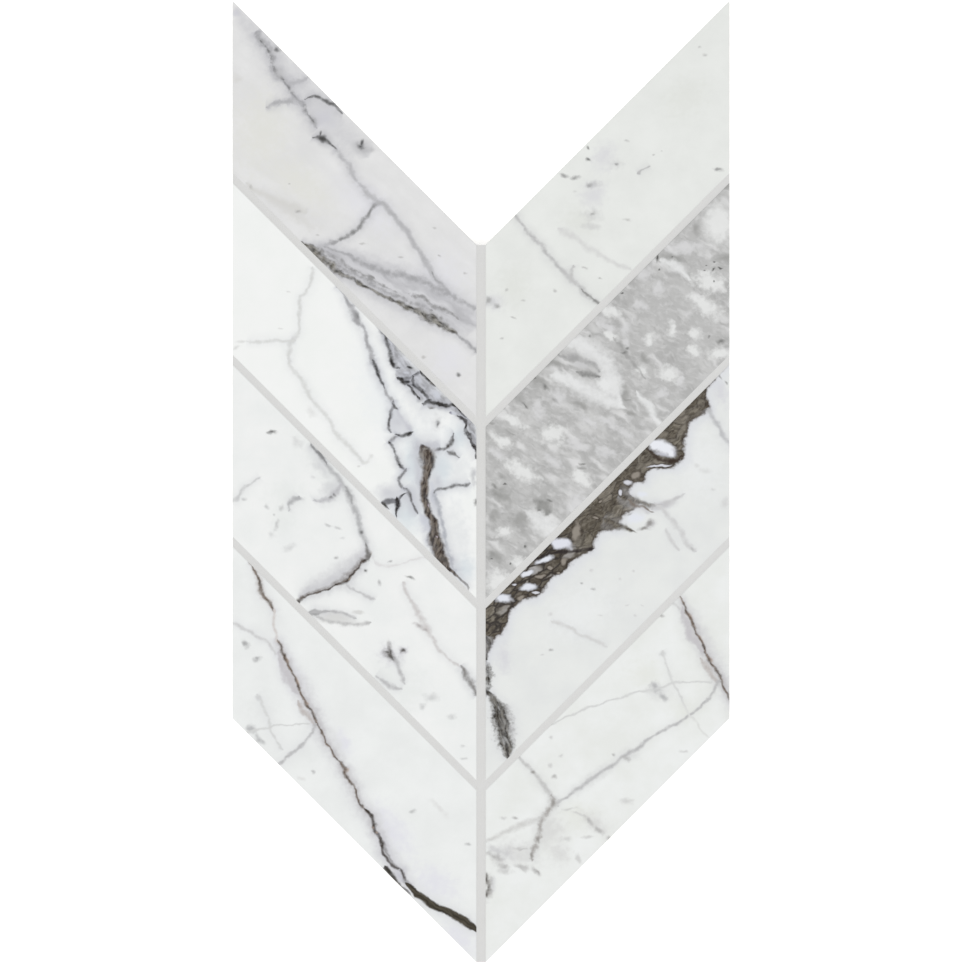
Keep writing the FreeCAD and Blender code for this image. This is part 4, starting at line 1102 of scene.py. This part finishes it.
finish_tile(tile, "tile_left_4")

tile = Print("lower right marble", (237, 239, 238), (231, 233, 230), (206, 207, 207))
tile.spots((228, 230, 224), [
    (100, -118, 16, 12, 0), (60, -205, 16, 12, -30), (125, -140, 12, 10, 0),
], 0.7)
tile.spots((214, 214, 213), [
    (22, -228, 18, 10, -15), (42, -214, 12, 14, 0), (70, -210, 14, 7, -32), (12, -232, 9, 5, -25),
    (48, -228, 10, 8, -40),
], 0.75)
tile.spots((216, 217, 217), [(109, -129, 10, 7, -20), (70, -181, 22, 5, 35), (90, -168, 10, 5, 0)], 0.7)
lay_long_crack(tile, PRINT_STEP)
tile.vein((208, 208, 206), [
    (40, -204.4, 1.1), (32, -208.4, 1.5), (22, -212.4, 1.6), (12, -216.4, 1.3), (3, -220, 1),
], hardness=0.0, halo=0.0)
tile.vein((220, 221, 219), [
    (124.8, -137.4, 0.7), (130, -146), (135.4, -152.6), (139.4, -157, 0.6),
], hardness=0.0, halo=0.0)
tile.vein((194, 194, 193), [
    (18, -164.6, 0.9), (22.8, -169.1), (27.6, -173.8), (32.2, -178.5, 1.1), (37, -184.4), (41.6, -190.2),
    (44.4, -194.4, 1.3), (46, -198.4, 1.6),
], hardness=0.0, halo=0.4)
tile.vein((172, 169, 166), [
    (43, -192.6, 0.9), (43.9, -197.3, 1.7), (41.6, -201.4, 1.5), (38.4, -205.8, 1.3), (36, -212, 1.2),
    (35.8, -218, 1.5), (34, -223, 1.4), (31.4, -228, 1.4), (31.4, -232.6, 0.8),
], hardness=0.0, broken=0.7, ragged=0.6)
tile.spots((136, 132, 128), [
    (31.9, -178.2, 2.2, 1, 0), (44, -197.6, 2, 3, 10), (35.6, -219.4, 1.3, 2.2, 10),
    (31.2, -229.8, 1.4, 2.8, 10), (34.6, -239.2, 2.4, 1, -35),
], 0.75)
tile.spots((198, 198, 200), [(7, -247, 3.4, 8, 0), (12, -227, 12, 5, -20)], 0.7)
tile.spots((156, 153, 150), [(3.6, -245.4, 3.4, 6, 0), (4, -253, 3.6, 5.6, 0)], 0.85)
tile.spots((104, 101, 97), [
    (3.6, -243.6, 1.5, 3.4, 0), (4.6, -248.8, 1.8, 3, 0), (3.6, -254, 1.7, 2.6, 0),
], 0.9)
tile.spots((176, 175, 174), [
    (8, -229.4, 7.4, 2.6, -20), (13.4, -236, 6, 2.8, -30), (25, -236.6, 6, 2.6, -16),
    (34, -239.2, 4.4, 2, -35), (25, -225.2, 4.4, 0.9, -6), (72, -213.6, 4.4, 2.4, -40),
    (66, -208.2, 5.4, 2, -35), (78.4, -217.4, 3.2, 2, -30), (45.3, -181.7, 2.2, 1.6, 0),
    (89.6, -169.6, 4.4, 1.8, -30), (111, -81.9, 2.2, 1.8, 0), (20.6, -206.8, 2.6, 1.4, 0),
    (81.5, -166.7, 1.8, 1.2, 0),
], 0.8)
tile.spots((202, 202, 201), [
    (14, -239, 6.4, 2.6, -14), (13.9, -206.6, 3, 1.6, 0), (60, -204.4, 4.4, 1.4, -30),
    (42.4, -173.1, 1.6, 2.4, 0), (48.9, -168.2, 2.6, 1.3, 0), (124.8, -165.6, 3, 1.4, 0),
    (24, -225, 5, 1.4, 0), (27, -237.6, 4, 2.4, -30), (60, -230.6, 5, 2.4, -60),
    (52.4, -219.6, 3.6, 2.2, 0), (66, -218.6, 5, 1.2, 5), (54, -200.4, 6, 1.2, 5),
    (88.9, -196.4, 5, 2.6, 0), (43, -157, 2, 1.6, 0),
], 0.75)
finish_tile(tile, "tile_right_4")


# Joint filler
# One pale grey sanded filler holds the tiles together in the joints, raked a little below their faces.
FILLER_TONE = (219, 219, 218)
FILLER_GRAIN = (206, 205, 202)

filler = blank_material("sanded filler")
tree = filler.node_tree
place = add_node(tree, "TexCoord").outputs["Object"]
sand = add_node(tree, "TexNoise", {"Vector": place, "Scale": 2.2 / MM, "Detail": 3.0, "Roughness": 0.6})
cloudy = add_node(tree, "TexNoise", {"Vector": place, "Scale": 0.12 / MM, "Detail": 3.0})
share = maths(tree, "MULTIPLY", ramp(tree, sand.outputs["Fac"], 0.4, 0.75), 0.4)
share = maths(tree, "MULTIPLY_ADD", ramp(tree, cloudy.outputs["Fac"], 0.4, 0.7), 0.12, share)
colour = mix_colour(tree, share, linear(*FILLER_TONE), linear(*FILLER_GRAIN))
rough = ramp(tree, sand.outputs["Fac"], 0.3, 0.7, 0.82, 0.95)
end_material(tree, colour, rough, sand.outputs["Fac"], strength=0.35, depth=0.15, ior=1.4)
cover("joint_filler", filler)


# Backing mesh
# An open scrim of flat glass fibre threads, woven over and under, is glued across the backs of the
# tiles. Its outline follows the chevron a few millimetres inside the tiles' edges.
mesh_low, mesh_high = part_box("backing_mesh")
THREAD_PITCH = 5.0 * MM
THREAD_WIDTH = 1.1 * MM
THREAD_THICKNESS = 0.14 * MM
THREAD_SWING = 1.1
FIBRE_TONE = (243, 243, 240)
FIBRE_SHADE = (222, 223, 220)
GLUE_TONE = (214, 206, 184)
MESH_HALF_WIDTH = mesh_high[0]
POINT_Y = mesh_low[1]
NOTCH_Y = mesh_high[1] - MESH_HALF_WIDTH
THREAD_TOP = (mesh_low[2] + mesh_high[2] + THREAD_THICKNESS) / 2
ROWS = math.ceil((mesh_high[1] - mesh_low[1]) / THREAD_PITCH)
COLUMNS = math.ceil(MESH_HALF_WIDTH / THREAD_PITCH)


def weave(mesh, position, crossings, turn, first):
    """One flat thread along Y, or along X once turned, that passes over and under at its crossings."""
    strip = bmesh.ops.create_grid(mesh, x_segments=1, y_segments=crossings, size=0.5)["verts"]
    bmesh.ops.scale(mesh, verts=strip, vec=(THREAD_WIDTH, crossings * THREAD_PITCH, 1))
    bmesh.ops.translate(mesh, verts=strip, vec=(0, crossings * THREAD_PITCH / 2, THREAD_TOP))
    for corner in strip:
        over = (round(corner.co.y / THREAD_PITCH) + first) % 2
        corner.co.z += THREAD_THICKNESS * (over - 0.5) * THREAD_SWING
    if turn:
        bmesh.ops.rotate(mesh, verts=strip, matrix=Matrix.Rotation(math.radians(-90), 3, "Z"))
    bmesh.ops.translate(mesh, verts=strip, vec=position)


half = bmesh.new()
for column in range(COLUMNS):
    weave(half, ((column + 0.5) * THREAD_PITCH, POINT_Y, 0), ROWS, False, column)
for row in range(ROWS):
    weave(half, (0, POINT_Y + row * THREAD_PITCH, 0), COLUMNS, True, row + 1)
for place, outward in (
    ((0, NOTCH_Y, 0), (-1, 1, 0)),
    ((0, POINT_Y, 0), (1, -1, 0)),
    ((MESH_HALF_WIDTH, 0, 0), (1, 0, 0)),
):
    everything = half.verts[:] + half.edges[:] + half.faces[:]
    bmesh.ops.bisect_plane(half, geom=everything, plane_co=place, plane_no=outward, clear_outer=True)
bmesh.ops.mirror(half, geom=half.verts[:] + half.edges[:] + half.faces[:], axis="X", merge_dist=0.01 * MM)
half.normal_update()
bmesh.ops.reverse_faces(half, faces=[face for face in half.faces if face.normal.z < 0])
bmesh.ops.solidify(half, geom=half.faces[:], thickness=THREAD_THICKNESS)
bmesh.ops.recalc_face_normals(half, faces=half.faces[:])
scrim = bpy.data.objects.new("backing_mesh_weave", bpy.data.meshes.new("backing_mesh_weave"))
half.to_mesh(scrim.data)
half.free()
bpy.context.scene.collection.objects.link(scrim)

glass = blank_material("glass fibre")
tree = glass.node_tree
place = add_node(tree, "TexCoord").outputs["Object"]
strands = add_node(tree, "TexNoise", {"Vector": place, "Scale": 3.0 / MM, "Detail": 4.0, "Roughness": 0.7})
glue = add_node(tree, "TexNoise", {"Vector": place, "Scale": 0.08 / MM, "Detail": 3.0, "Roughness": 0.6})
fibres = ramp(tree, strands.outputs["Fac"], 0.35, 0.65)
colour = mix_colour(tree, fibres, linear(*FIBRE_SHADE), linear(*FIBRE_TONE))
glued = ramp(tree, glue.outputs["Fac"], 0.52, 0.6, 0.0, 0.5)
colour = mix_colour(tree, glued, colour, linear(*GLUE_TONE))
rough = ramp(tree, glue.outputs["Fac"], 0.5, 0.62, 0.55, 0.28)
end_material(tree, colour, rough, strands.outputs["Fac"], strength=0.5, depth=0.08, ior=1.5)
scrim.data.materials.append(glass)
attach(scrim, "root")
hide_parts("backing_mesh")


# Floor and light
# A plain pale floor and a soft studio: an even pale room and two wide lamps that face each other.
ROOM_LIGHT = 0.72
LAMP_POWER = 30.0
LAMP_SIZE = 2.4
LAMP_REACH = 2.6
LAMP_SETBACK = 0.6
FLOOR_SIZE = 12.0
FLOOR_TONE = (244, 244, 243)
FLOOR_GLOW = 0.5

floor_mesh = bmesh.new()
bmesh.ops.create_grid(floor_mesh, x_segments=1, y_segments=1, size=FLOOR_SIZE / 2)
floor = bpy.data.objects.new("floor", bpy.data.meshes.new("floor"))
floor_mesh.to_mesh(floor.data)
floor_mesh.free()
bpy.context.scene.collection.objects.link(floor)

paint = blank_material("pale floor")
tree = paint.node_tree
light_path = add_node(tree, "LightPath").outputs
matt = add_node(tree, "BsdfPrincipled", {"Base Color": linear(*FLOOR_TONE), "Roughness": 0.8})
glow = add_node(tree, "Emission", {"Strength": FLOOR_GLOW})
seen = add_node(tree, "AddShader", {0: matt.outputs["BSDF"], 1: glow.outputs["Emission"]})
shows = maths(tree, "MAXIMUM", light_path["Is Camera Ray"], light_path["Is Glossy Ray"])
shows = maths(tree, "MAXIMUM", shows, light_path["Is Transmission Ray"])
either = add_node(tree, "MixShader", {0: shows, 1: matt.outputs["BSDF"], 2: seen.outputs["Shader"]})
add_node(tree, "OutputMaterial", {"Surface": either.outputs["Shader"]})
floor.data.materials.append(paint)

world = bpy.data.worlds.new("room")
world.use_nodes = True
tree = world.node_tree
tree.nodes.clear()
light_path = add_node(tree, "LightPath").outputs
room = add_node(tree, "Background", {"Color": (1, 1, 1, 1), "Strength": ROOM_LIGHT})
white = add_node(tree, "Background", {"Color": (1, 1, 1, 1), "Strength": 1.0})
either = add_node(tree, "MixShader", {
    0: light_path["Is Camera Ray"],
    1: room.outputs["Background"],
    2: white.outputs["Background"],
})
add_node(tree, "OutputWorld", {"Surface": either.outputs["Shader"]})
bpy.context.scene.world = world

for name, side in (("left lamp", -1), ("right lamp", 1)):
    lamp = bpy.data.objects.new(name, bpy.data.lights.new(name, "AREA"))
    lamp.data.shape = "DISK"
    lamp.data.size = LAMP_SIZE
    lamp.data.energy = LAMP_POWER
    lamp.location = (side * LAMP_REACH, -LAMP_SETBACK, LAMP_REACH)
    lamp.rotation_euler = (-lamp.location).to_track_quat("-Z", "Y").to_euler()
    bpy.context.scene.collection.objects.link(lamp)

bpy.context.scene.view_settings.view_transform = "Standard"
